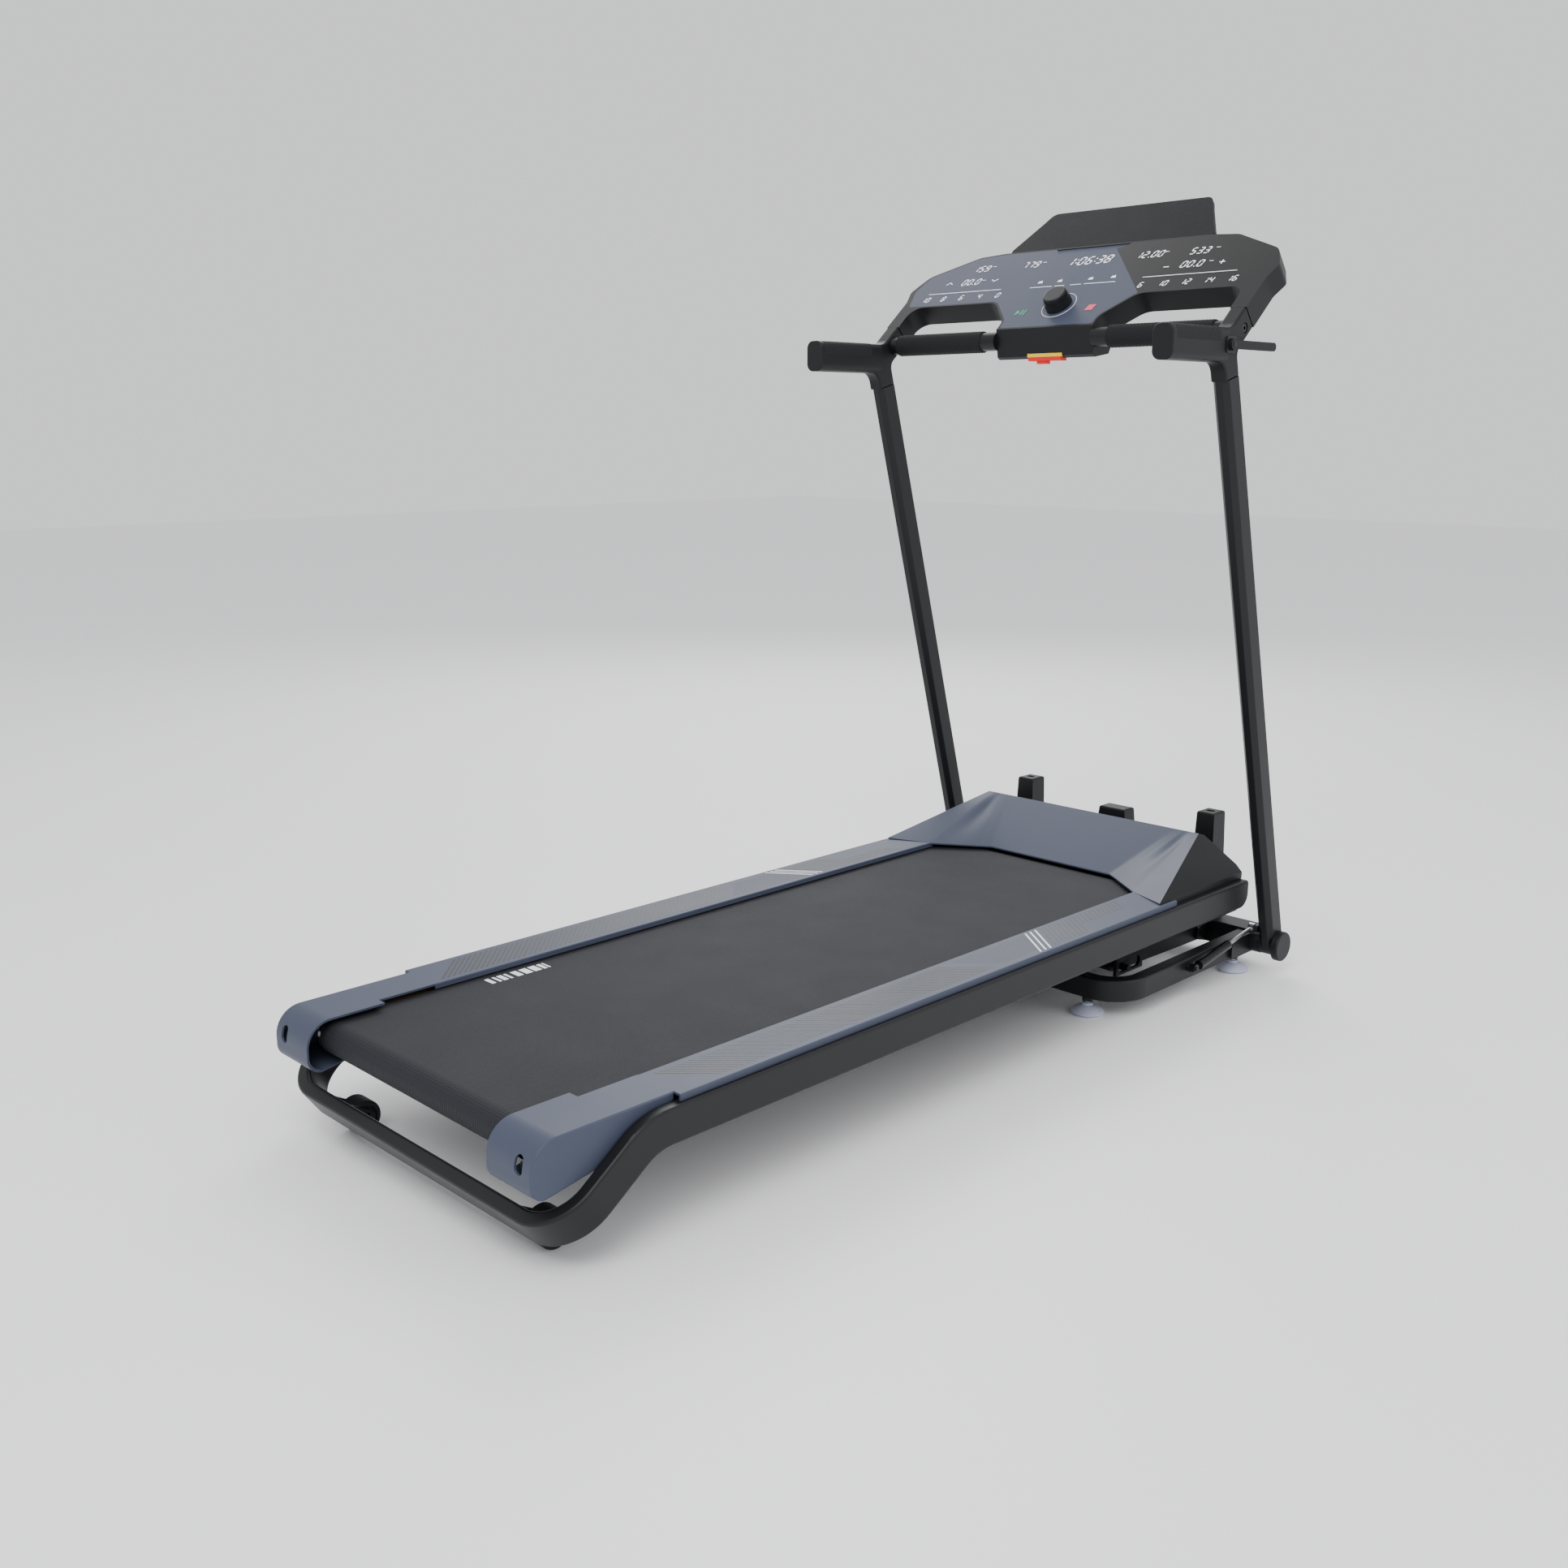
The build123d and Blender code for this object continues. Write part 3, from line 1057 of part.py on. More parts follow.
# ================================================================ console
SHELL_T = 3.0
NOSE_LOW = 1063.6
RIM = 3.5
FASCIA_LOW = 4.0
FASCIA_END = 348.0
HOLLOW_W, HOLLOW_H, HOLLOW_UP = 560.0, 96.0, 148.0
KEY_W = 72.0
KEY_DEPTH = 26.0
KEY_TOP = 1072.0
KNOB_UP = 57.0
KNOB_R = 23.0
KNOB_H = 24.0
with BuildPart() as console_shell:
    with BuildSketch(FACE):
        with BuildLine():
            FilletPolyline(
                (0, 0),
                (BLOCK_HALF, 0),
                (BLOCK_HALF, 22),
                (BLOCK_HALF + 48, WING_LOW),
                (ARM_IN - 1, WING_LOW),
                (ARM_IN - 1, SEAM_UP),
                (ARM_OUT - 1, SEAM_UP),
                (ARM_OUT - 1, 95),
                (372, 124),
                (352, 166),
                (262, 213),
                (206, WING_TOP),
                (0, WING_TOP),
                radius=[4, 24, 30, 24, 0.5, 0.5, 30, 14, 30, 30, 10],
            )
            mirror(about=Plane.YZ)
        make_face()
    extrude(amount=-UP_D)
    # nose that comes down in front of the cross bar
    with BuildSketch(xz_at(0)):
        with BuildLine():
            Polyline(
                (FACE_X, FACE_Z),
                (FACE_X + 6, NOSE_LOW + 4),
                (FACE_X + 12, NOSE_LOW),
                (FACE_X + 50, NOSE_LOW + 6),
                (FACE_X + ARM_X * 80 + ARM_Z * UP_D, FACE_Z + ARM_Z * 80 - ARM_X * UP_D),
                (FACE_X + ARM_X * 60, FACE_Z + ARM_Z * 60),
                close=True,
            )
        make_face()
    extrude(amount=BLOCK_HALF, both=True)
    # recess of the fascia and the display panel
    with BuildSketch(FACE):
        with BuildLine():
            FilletPolyline(
                (0, FASCIA_LOW),
                (BLOCK_HALF - RIM, FASCIA_LOW),
                (BLOCK_HALF - RIM, 24),
                (BLOCK_HALF + 46, WING_LOW + RIM),
                (FASCIA_END, WING_LOW + RIM),
                (FASCIA_END + 12, 124),
                (350, 163),
                (261, 213 - RIM),
                (206, WING_TOP - RIM),
                (0, WING_TOP - RIM),
                radius=[6, 24, 30, 8, 20, 30, 30, 10],
            )
            mirror(about=Plane.YZ)
        make_face()
    extrude(amount=-FASCIA_T, mode=Mode.SUBTRACT)
    # hollow behind the wings, open at the back
    with BuildSketch(FACE.offset(-FASCIA_T - SHELL_T)):
        with Locations((0, HOLLOW_UP)):
            RectangleRounded(HOLLOW_W, HOLLOW_H, 8)
    extrude(amount=-UP_D, mode=Mode.SUBTRACT)
    # notch for the safety key
    with BuildSketch(Plane.XY.offset(NOSE_LOW - 5)):
        with Locations((FACE_X + KEY_DEPTH / 2, 0)):
            Rectangle(KEY_DEPTH, KEY_W)
    extrude(amount=KEY_TOP - NOSE_LOW + 5, mode=Mode.SUBTRACT)
    # bore of the knob's encoder
    with BuildSketch(FACE):
        with Locations((0, KNOB_UP)):
            Circle(5)
    extrude(amount=-FASCIA_T - SHELL_T, mode=Mode.SUBTRACT)
save(console_shell, "console_shell")

with BuildPart() as console_back:
    with BuildSketch(FACE.offset(-UP_D)):
        with Locations((0, HOLLOW_UP)):
            RectangleRounded(HOLLOW_W, HOLLOW_H, 8)
    extrude(amount=SHELL_T)
    with BuildSketch(FACE.offset(-UP_D)):
        with Locations((0, HOLLOW_UP)):
            with GridLocations(14, 1, 12, 1):
                SlotOverall(50, 5, rotation=90)
    extrude(amount=SHELL_T, mode=Mode.SUBTRACT)
save(console_back, "console_back")

with BuildPart() as display_board:
    with BuildSketch(FACE.offset(-FASCIA_T - SHELL_T)):
        with Locations((0, HOLLOW_UP)):
            Rectangle(HOLLOW_W - 30, HOLLOW_H - 20)
        with Locations((0, KNOB_UP)):
            Circle(12, mode=Mode.SUBTRACT)
    extrude(amount=-5)
save(display_board, "display_board")

# the black panel takes the right wing, past a slanting edge; the fascia takes the rest
with BuildSketch(FACE) as panel_outline:
    with BuildLine():
        Polyline(
            (60, WING_TOP + 5),
            (60, WING_TOP - RIM),
            (36, 203),
            (142, WING_LOW + RIM - 1),
            (142, WING_LOW - 10),
            (400, WING_LOW - 10),
            (400, WING_TOP + 5),
            close=True,
        )
    make_face()
# lower band along the top edge, under the tablet holder
with BuildSketch(FACE) as ledge_outline:
    with BuildLine():
        Polyline(
            (-96, WING_TOP + 5),
            (-94, WING_TOP - RIM),
            (-82, 202),
            (36.5, 202),
            (60, WING_TOP - RIM),
            (60, WING_TOP + 5),
            close=True,
        )
    make_face()
with BuildSketch(FACE) as fascia_outline:
    with BuildLine():
        FilletPolyline(
            (0, FASCIA_LOW),
            (BLOCK_HALF - RIM, FASCIA_LOW),
            (BLOCK_HALF - RIM, 24),
            (BLOCK_HALF + 46, WING_LOW + RIM),
            (FASCIA_END, WING_LOW + RIM),
            (FASCIA_END + 12, 124),
            (350, 163),
            (261, 213 - RIM),
            (206, WING_TOP - RIM),
            (0, WING_TOP - RIM),
            radius=[6, 24, 30, 8, 20, 30, 30, 10],
        )
        mirror(about=Plane.YZ)
    make_face()

with BuildPart() as console_fascia:
    extrude(fascia_outline.sketch, amount=-FASCIA_T)
    extrude(panel_outline.sketch, amount=-FASCIA_T - 1, mode=Mode.SUBTRACT)
    extrude(ledge_outline.sketch, amount=-1.5, mode=Mode.SUBTRACT)
    with BuildSketch(FACE):
        with Locations((0, KNOB_UP)):
            Circle(5)
    extrude(amount=-FASCIA_T, mode=Mode.SUBTRACT)
save(console_fascia, "console_fascia")

with BuildPart() as display_panel:
    extrude(fascia_outline.sketch, amount=-FASCIA_T)
    extrude(panel_outline.sketch, amount=-FASCIA_T, mode=Mode.INTERSECT)
save(display_panel, "display_panel")

with BuildPart() as control_knob:
    with BuildSketch(FACE.offset(FIT)):
        with Locations((0, KNOB_UP)):
            Circle(KNOB_R)
    extrude(amount=KNOB_H * 0.6)
    with BuildSketch(FACE.offset(FIT + KNOB_H * 0.6)):
        with Locations((0, KNOB_UP)):
            Circle(KNOB_R - 2.5)
    extrude(amount=KNOB_H * 0.4)
    fillet(control_knob.faces().sort_by(Axis(FACE.origin, FACE.z_dir))[-1].edges(), 2.5)
    # shaft of the encoder
    with BuildSketch(FACE.offset(FIT)):
        with Locations((0, KNOB_UP)):
            Circle(5 - FIT)
    extrude(amount=-FASCIA_T - SHELL_T - FIT)
save(control_knob, "control_knob")

with BuildPart() as key_socket:
    with BuildSketch(Plane.XY.offset(KEY_TOP)):
        with Locations((FACE_X + KEY_DEPTH / 2 + 3, 0)):
            RectangleRounded(KEY_DEPTH - 6, KEY_W, 2)
    extrude(amount=-6)
save(key_socket, "key_socket")

with BuildPart() as safety_key:
    with BuildSketch(Plane.XY.offset(KEY_TOP - 6 - FIT)):
        with Locations((FACE_X + KEY_DEPTH / 2 + 2, 0)):
            RectangleRounded(KEY_DEPTH - 6, KEY_W - 6, 2)
    extrude(amount=-6)
    with BuildSketch(Plane.XY.offset(KEY_TOP - 12 - FIT)):
        with Locations((FACE_X + KEY_DEPTH / 2, 6)):
            RectangleRounded(12, 22, 3)
    extrude(amount=-5)
save(safety_key, "safety_key")

# tablet holder standing on the console's top edge
HOLDER_SLOPE = 45.5
HOLDER_T = 10.0
HOLDER_LENGTH = 106.0
HOLDER_LOW_HALF = 200.0
HOLDER_TOP_HALF = 160.0
HOLDER_BASE = (FACE_X + ARM_X * WING_TOP + ARM_Z * 7, FACE_Z + ARM_Z * WING_TOP - ARM_X * 7)
HOLDER = Plane(
    origin=(HOLDER_BASE[0], 0, HOLDER_BASE[1]),
    x_dir=(0, -1, 0),
    z_dir=(-sin(radians(HOLDER_SLOPE)), 0, cos(radians(HOLDER_SLOPE))),
)
with BuildPart() as tablet_holder:
    with BuildSketch(HOLDER):
        with BuildLine():
            FilletPolyline(
                (0, FIT / 3),
                (HOLDER_LOW_HALF, FIT / 3),
                (HOLDER_LOW_HALF + 6, 14),
                (HOLDER_TOP_HALF + 12, HOLDER_LENGTH - 26),
                (HOLDER_TOP_HALF, HOLDER_LENGTH),
                (0, HOLDER_LENGTH),
                radius=[3, 8, 16, 16],
            )
            mirror(about=Plane.YZ)
        make_face()
    extrude(amount=-HOLDER_T)
    with BuildSketch(HOLDER.offset(-HOLDER_T)):
        with Locations((0, 13)):
            Rectangle(2 * HOLDER_LOW_HALF - 40, 24)
    extrude(amount=-12)
save(tablet_holder, "tablet_holder")

# ================================================================ gas strut
STRUT_Y = -322.0
STRUT_LOW = Vector(X_FOOT + 1290.0, STRUT_Y, HINGE_Z)
STRUT_HIGH = Vector(X_FOOT + 1484.0, STRUT_Y, 81.0)
STRUT_DIR = (STRUT_HIGH - STRUT_LOW).normalized()
STRUT_LENGTH = (STRUT_HIGH - STRUT_LOW).length
EYE_R = 8.0
EYE_W = 10.0
STUD_R = 4.0
CYL_R = 8.0
ROD_R = 3.5
CYL_END = 112.0
ROD_START = 92.0
with BuildPart() as strut_stud_low:
    with BuildSketch(xz_at(-BASE_HALF)):
        with Locations((STRUT_LOW.X, STRUT_LOW.Z)):
            Circle(7)
    extrude(amount=-STRUT_Y - BASE_HALF - EYE_W / 2 - FIT)
    with BuildSketch(xz_at(-BASE_HALF)):
        with Locations((STRUT_LOW.X, STRUT_LOW.Z)):
            Circle(STUD_R)
    extrude(amount=-STRUT_Y - BASE_HALF + EYE_W / 2 + 2)
save_together((base_frame, foot_nuts, strut_stud_low), "base_frame")

with BuildPart() as strut_stud_high:
    with BuildSketch(xz_at(-UP_IN)):
        with Locations((STRUT_HIGH.X, STRUT_HIGH.Z)):
            Circle(7)
    extrude(amount=-(UP_IN + STRUT_Y - EYE_W / 2 - FIT))
save_together((arm_bolts, lever_mount, strut_stud_high), "arm_fittings")

with BuildPart() as strut_cylinder:
    with BuildSketch(xz_at(STRUT_Y)):
        with Locations((STRUT_LOW.X, STRUT_LOW.Z)):
            Circle(EYE_R)
    extrude(amount=EYE_W / 2, both=True)
    with BuildSketch(Plane(origin=STRUT_LOW + STRUT_DIR * 5, z_dir=STRUT_DIR)):
        Circle(ROD_R)
    extrude(amount=12)
    with BuildSketch(Plane(origin=STRUT_LOW + STRUT_DIR * 16, z_dir=STRUT_DIR)):
        Circle(CYL_R)
    extrude(amount=CYL_END - 16)
    with BuildSketch(Plane(origin=STRUT_LOW + STRUT_DIR * 60, z_dir=STRUT_DIR)):
        Circle(ROD_R + RUN)
    extrude(amount=CYL_END, mode=Mode.SUBTRACT)
    with BuildSketch(xz_at(STRUT_Y)):
        with Locations((STRUT_LOW.X, STRUT_LOW.Z)):
            Circle(STUD_R + RUN)
    extrude(amount=EYE_W, both=True, mode=Mode.SUBTRACT)
save(strut_cylinder, "strut_cylinder")

with BuildPart() as strut_rod:
    with BuildSketch(Plane(origin=STRUT_LOW + STRUT_DIR * ROD_START, z_dir=STRUT_DIR)):
        Circle(ROD_R)
    extrude(amount=STRUT_LENGTH - ROD_START)
    with BuildSketch(xz_at(STRUT_Y)):
        with Locations((STRUT_HIGH.X, STRUT_HIGH.Z)):
            Circle(EYE_R)
    extrude(amount=EYE_W / 2, both=True)
save(strut_rod, "strut_rod")
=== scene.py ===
"""Looks of the folding treadmill: finishes on the CAD nodes, a hood skin, textured foam
sleeves, groove lines on the foot rails, and the printed and lit marks of the console."""
import json
import math

import bpy
import numpy as np
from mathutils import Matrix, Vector


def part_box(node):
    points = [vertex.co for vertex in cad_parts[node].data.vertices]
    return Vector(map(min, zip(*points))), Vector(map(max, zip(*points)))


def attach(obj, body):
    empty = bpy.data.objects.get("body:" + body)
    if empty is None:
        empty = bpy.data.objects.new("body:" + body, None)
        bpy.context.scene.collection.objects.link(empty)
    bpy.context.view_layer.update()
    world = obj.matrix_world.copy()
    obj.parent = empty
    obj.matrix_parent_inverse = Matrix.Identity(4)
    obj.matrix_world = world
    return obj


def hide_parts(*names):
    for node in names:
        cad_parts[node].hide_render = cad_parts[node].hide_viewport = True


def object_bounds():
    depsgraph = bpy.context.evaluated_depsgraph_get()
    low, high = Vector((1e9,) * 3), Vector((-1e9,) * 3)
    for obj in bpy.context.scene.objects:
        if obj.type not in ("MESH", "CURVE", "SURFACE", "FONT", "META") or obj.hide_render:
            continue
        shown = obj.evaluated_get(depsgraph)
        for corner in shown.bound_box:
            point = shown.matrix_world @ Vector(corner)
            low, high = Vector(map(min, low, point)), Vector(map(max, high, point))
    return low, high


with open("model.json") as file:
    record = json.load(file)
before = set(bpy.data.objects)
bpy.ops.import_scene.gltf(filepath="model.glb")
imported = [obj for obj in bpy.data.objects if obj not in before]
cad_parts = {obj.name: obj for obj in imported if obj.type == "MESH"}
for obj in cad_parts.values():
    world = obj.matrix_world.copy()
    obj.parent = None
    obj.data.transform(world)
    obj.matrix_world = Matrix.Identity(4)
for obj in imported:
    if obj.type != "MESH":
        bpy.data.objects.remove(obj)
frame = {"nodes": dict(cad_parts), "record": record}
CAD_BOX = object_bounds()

NODES = frame["nodes"]
RECORD = frame["record"]
JOINTS = {joint["name"]: joint for joint in RECORD["behaviour"]["joints"]}
MM = 0.001
SPECULAR = 0.28          # plastics, paint and rubber here are all rather matt
MOTTLE_SIZE = 90.0       # mm across a patch of the faint mottle
ROUGH_SPREAD = 0.05
WEAVE_STRETCH = 1.3      # pitch of the belt's weave along it over that across it
DOT_EDGE = 0.36


# ---------------------------------------------------------------- materials
def linear(code):
    """sRGB hex colour as a linear RGBA."""
    parts = [int(code[i:i + 2], 16) / 255 for i in (1, 3, 5)]
    return (*[c / 12.92 if c <= 0.04045 else ((c + 0.055) / 1.055) ** 2.4 for c in parts], 1.0)


def add_node(tree, kind, settings=None, inputs=None):
    """Adds a node, sets its properties and sets or links its inputs."""
    node = tree.nodes.new(kind)
    for key, value in (settings or {}).items():
        setattr(node, key, value)
    for key, value in (inputs or {}).items():
        if isinstance(value, bpy.types.NodeSocket):
            tree.links.new(value, node.inputs[key])
        else:
            node.inputs[key].default_value = value
    return node


def bands(where, pitch_mm, direction):
    """Settings and inputs of a Wave texture with that pitch; its phase is 20 radians per unit of scale."""
    scale = 2 * math.pi / 20 / (pitch_mm * MM)
    settings = {"wave_type": "BANDS", "bands_direction": direction, "wave_profile": "SIN"}
    return settings, {"Vector": where, "Scale": scale}


def grain(tree, where, size_mm, detail=4.0):
    """Fine moulded grain: one noise with spots of that size."""
    inputs = {"Vector": where, "Scale": 1 / (size_mm * MM), "Detail": detail}
    return add_node(tree, "ShaderNodeTexNoise", None, inputs).outputs[0]


def weave(tree, where, size_mm):
    """Woven cloth: the product of two crossed bands."""
    across = add_node(tree, "ShaderNodeTexWave", *bands(where, size_mm, "X")).outputs[1]
    along = add_node(tree, "ShaderNodeTexWave", *bands(where, size_mm * WEAVE_STRETCH, "Y")).outputs[1]
    return add_node(tree, "ShaderNodeMath", {"operation": "MULTIPLY"}, {0: across, 1: along}).outputs[0]


def lattice(tree, where, size_mm):
    """Diamond lattice: the larger of two bands that cross at a slant."""
    slanted = []
    for angle in (45, -45):
        inputs = {"Vector": where, "Rotation": (0, 0, math.radians(angle))}
        turned = add_node(tree, "ShaderNodeMapping", None, inputs).outputs[0]
        slanted.append(add_node(tree, "ShaderNodeTexWave", *bands(turned, size_mm, "X")).outputs[1])
    return add_node(tree, "ShaderNodeMath", {"operation": "MAXIMUM"}, dict(enumerate(slanted))).outputs[0]


def dots(tree, where, size_mm):
    """Regular dots: distance to the nearest point of an even grid, cut at a fixed share of its pitch."""
    inputs = {"Vector": where, "Scale": 1 / (size_mm * MM), "Randomness": 0.0}
    far = add_node(tree, "ShaderNodeTexVoronoi", None, inputs).outputs[0]
    return add_node(tree, "ShaderNodeMath", {"operation": "GREATER_THAN"}, {0: far, 1: DOT_EDGE}).outputs[0]


def finish(name, colour, rough, pattern=grain, size_mm=0.9, depth_mm=0.02, mottle=0.05, **extra):
    """Principled finish with a bump pattern, a faint mottle and uneven roughness."""
    material = bpy.data.materials.new(name)
    material.use_nodes = True
    tree = material.node_tree
    shader = tree.nodes["Principled BSDF"]
    shader.inputs["Specular IOR Level"].default_value = SPECULAR
    where = add_node(tree, "ShaderNodeTexCoord").outputs["Object"]
    broad = grain(tree, where, MOTTLE_SIZE, 3.0)
    dark = tuple(c * (1 - 2 * mottle) for c in linear(colour)[:3]) + (1.0,)
    light = tuple(min(1, c * (1 + 2 * mottle)) for c in linear(colour)[:3]) + (1.0,)
    tint = add_node(tree, "ShaderNodeMix", {"data_type": "RGBA"}, {0: broad, 6: dark, 7: light}).outputs[2]
    tree.links.new(tint, shader.inputs["Base Color"])
    spread = {0: broad, 3: rough - ROUGH_SPREAD, 4: rough + ROUGH_SPREAD}
    uneven = add_node(tree, "ShaderNodeMapRange", None, spread)
    tree.links.new(uneven.outputs[0], shader.inputs["Roughness"])
    height = pattern(tree, where, size_mm)
    relief = {"Height": height, "Distance": depth_mm * MM, "Strength": 1.0}
    bump = add_node(tree, "ShaderNodeBump", None, relief)
    tree.links.new(bump.outputs[0], shader.inputs["Normal"])
    for key, value in extra.items():
        shader.inputs[key.replace("_", " ")].default_value = value
    return material


def printed(name, colour, glow=0.0):
    """Flat even ink, or a lit mark where glow is over 0."""
    material = bpy.data.materials.new(name)
    material.use_nodes = True
    shader = material.node_tree.nodes["Principled BSDF"]
    shader.inputs["Base Color"].default_value = linear(colour)
    shader.inputs["Roughness"].default_value = 0.45
    shader.inputs["Emission Color"].default_value = linear(colour)
    shader.inputs["Emission Strength"].default_value = glow
    return material


# moulded plastics: soft wide highlights broken by a fine grain; powder coat: the same, finer; steel:
# sharp highlights; rubber and foam: almost none; gloss window and lacquer: smooth and reflecting
FINISHES = {
    "slate_plastic": finish("moulded slate plastic", "#3e4455", 0.48, size_mm=1.1, depth_mm=0.03),
    "black_plastic": finish("moulded black plastic", "#0f1012", 0.5, size_mm=1.0, depth_mm=0.03),
    "black_frame": finish("black powder coat", "#121316", 0.42, size_mm=0.6, depth_mm=0.015),
    "bright_steel": finish("turned bright steel", "#b9bac0", 0.28, size_mm=0.5, depth_mm=0.005, Metallic=1.0),
    "dark_steel": finish("dark oxide steel", "#3a3b3f", 0.36, size_mm=0.5, depth_mm=0.01, Metallic=0.9),
    "pale_foot_plastic": finish("pale lilac-grey plastic", "#b4b8cc", 0.5, size_mm=1.0),
    "wheel_rubber": finish("dull black rubber", "#1d1d20", 0.7, size_mm=1.5),
    "belt_rubber": finish("woven running belt", "#1d1f24", 0.7, weave, 3.4, 0.6, 0.04),
    "drive_rubber": finish("ribbed drive rubber", "#1a1a1c", 0.7),
    "cushion_rubber": finish("soft deck rubber", "#2a2a2d", 0.75),
    "board_laminate": finish("waxed laminate", "#4a3d33", 0.5),
    "hinge_plastic": finish("hinge cover plastic", "#111214", 0.5),
    "grip_plastic": finish("lattice soft grip", "#17181b", 0.75, lattice, 4.2, 1.2, 0.03),
    "grip_foam": finish("textured closed foam", "#141518", 0.8, grain, 0.7, 0.05, 0.05),
    "board_green": finish("circuit board", "#1d4a2b", 0.5),
    "display_gloss": finish("gloss black window", "#040405", 0.36, size_mm=4.0, depth_mm=0.0005),
    "knob_plastic": finish("satin knob plastic", "#151619", 0.42),
    "yellow_rim": finish("yellow plastic", "#e8c21e", 0.45),
    "red_key": finish("red key plastic", "#d81c1c", 0.35),
    "holder_plastic": finish("dotted holder plastic", "#101114", 0.6, dots, 4.0, 0.8, 0.03),
    "switch_red": finish("red rocker plastic", "#a01818", 0.3),
    "strut_black": finish("gloss black lacquer", "#0e0f11", 0.22, size_mm=2.0, depth_mm=0.002),
}
GROOVE = printed("groove shadow", "#101216")
WHITE = printed("white print", "#e4e7ee")
LIT = printed("lit white segments", "#f2f4fa", 0.5)
# the green and red print get a faint glow of 0.15: painted light, since printed ink is no lamp
GREEN_PRINT_PAINTED_GLOW = printed("green print with painted glow", "#2f9b6a", 0.15)
RED_PRINT_PAINTED_GLOW = printed("red print with painted glow", "#e0455c", 0.15)

for part in RECORD["subparts"]:
    mesh = NODES[part["node"]].data
    mesh.materials.clear()
    mesh.materials.append(FINISHES[part["material_slot"]])


# ---------------------------------------------------------------- surfaces
def surface(name, points, faces, material, body, smooth=False):
    """A mesh from points in metres and faces as point numbers, riding on one CAD body."""
    mesh = bpy.data.meshes.new(name)
    mesh.from_pydata(np.asarray(points, float).tolist(), [], [list(map(int, f)) for f in faces])
    mesh.materials.append(material)
    mesh.polygons.foreach_set("use_smooth", [smooth] * len(mesh.polygons))
    mesh.update()
    thing = bpy.data.objects.new(name, mesh)
    bpy.context.scene.collection.objects.link(thing)
    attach(thing, body)
    return thing


class Sheet:
    """A flat place to print on: point(a, b, h) = origin + a*right + b*up + h*normal, in millimetres."""

    def __init__(self, origin, right, up):
        self.origin = np.asarray(origin, float)
        self.right = np.asarray(right, float)
        self.up = np.asarray(up, float)
        self.normal = np.cross(self.right, self.up)

    def at(self, a, b, h):
        return self.origin + (a * self.right + b * self.up + h * self.normal) * MM


MARK_GAP = 0.02          # mm between a mark's underside and the face that it is printed on


def prisms(name, sheet, outlines, height_mm, material, body):
    """Flat marks: each outline becomes a closed prism from MARK_GAP to height_mm above the sheet."""
    points, faces = [], []
    for outline in outlines:
        first, n = len(points), len(outline)
        following = list(outline[1:]) + [outline[0]]
        turn = sum(p[0] * q[1] - q[0] * p[1] for p, q in zip(outline, following))
        ring = list(outline) if turn > 0 else list(reversed(outline))
        points += [sheet.at(a, b, MARK_GAP) for a, b in ring]
        points += [sheet.at(a, b, height_mm) for a, b in ring]
        faces.append([first + n + i for i in range(n)])
        faces.append([first + n - 1 - i for i in range(n)])
        for i in range(n):
            j = (i + 1) % n
            faces.append([first + i, first + j, first + n + j, first + n + i])
    return surface(name, points, faces, material, body)


def stroke(p, q, width):
    """Outline of a straight line of that width from p to q."""
    p, q = np.array(p, float), np.array(q, float)
    along = q - p
    side = np.array([-along[1], along[0]]) / np.linalg.norm(along) * width / 2
    return [tuple(p - side), tuple(q - side), tuple(q + side), tuple(p + side)]


def lathe(profile, centre, steps, ripple):
    """Points and faces of a closed profile [(y, r), ...] swept round the Y axis through centre.

    point = centre + (r cos t, y, r sin t).  Where r is more than 2 mm over the profile's first
    radius it is lowered by ripple(y, t)."""
    points, faces = [], []
    n = len(profile)
    for k in range(steps):
        t = 2 * math.pi * k / steps
        for y, r in profile:
            r = r - (ripple(y, t) if r > profile[0][1] + 2 else 0)
            points.append((centre[0] + r * math.cos(t) * MM, y * MM, centre[2] + r * math.sin(t) * MM))
    for k in range(steps):
        for i in range(n):
            a, b = k * n + i, k * n + (i + 1) % n
            c, d = ((k + 1) % steps) * n + (i + 1) % n, ((k + 1) % steps) * n + i
            faces.append([a, b, c, d])
    return points, faces


# ---------------------------------------------------------------- hood skin
RAIL_IN = 225.0          # inner edge of a foot rail from the middle
HOOD_SKIN = 2.5


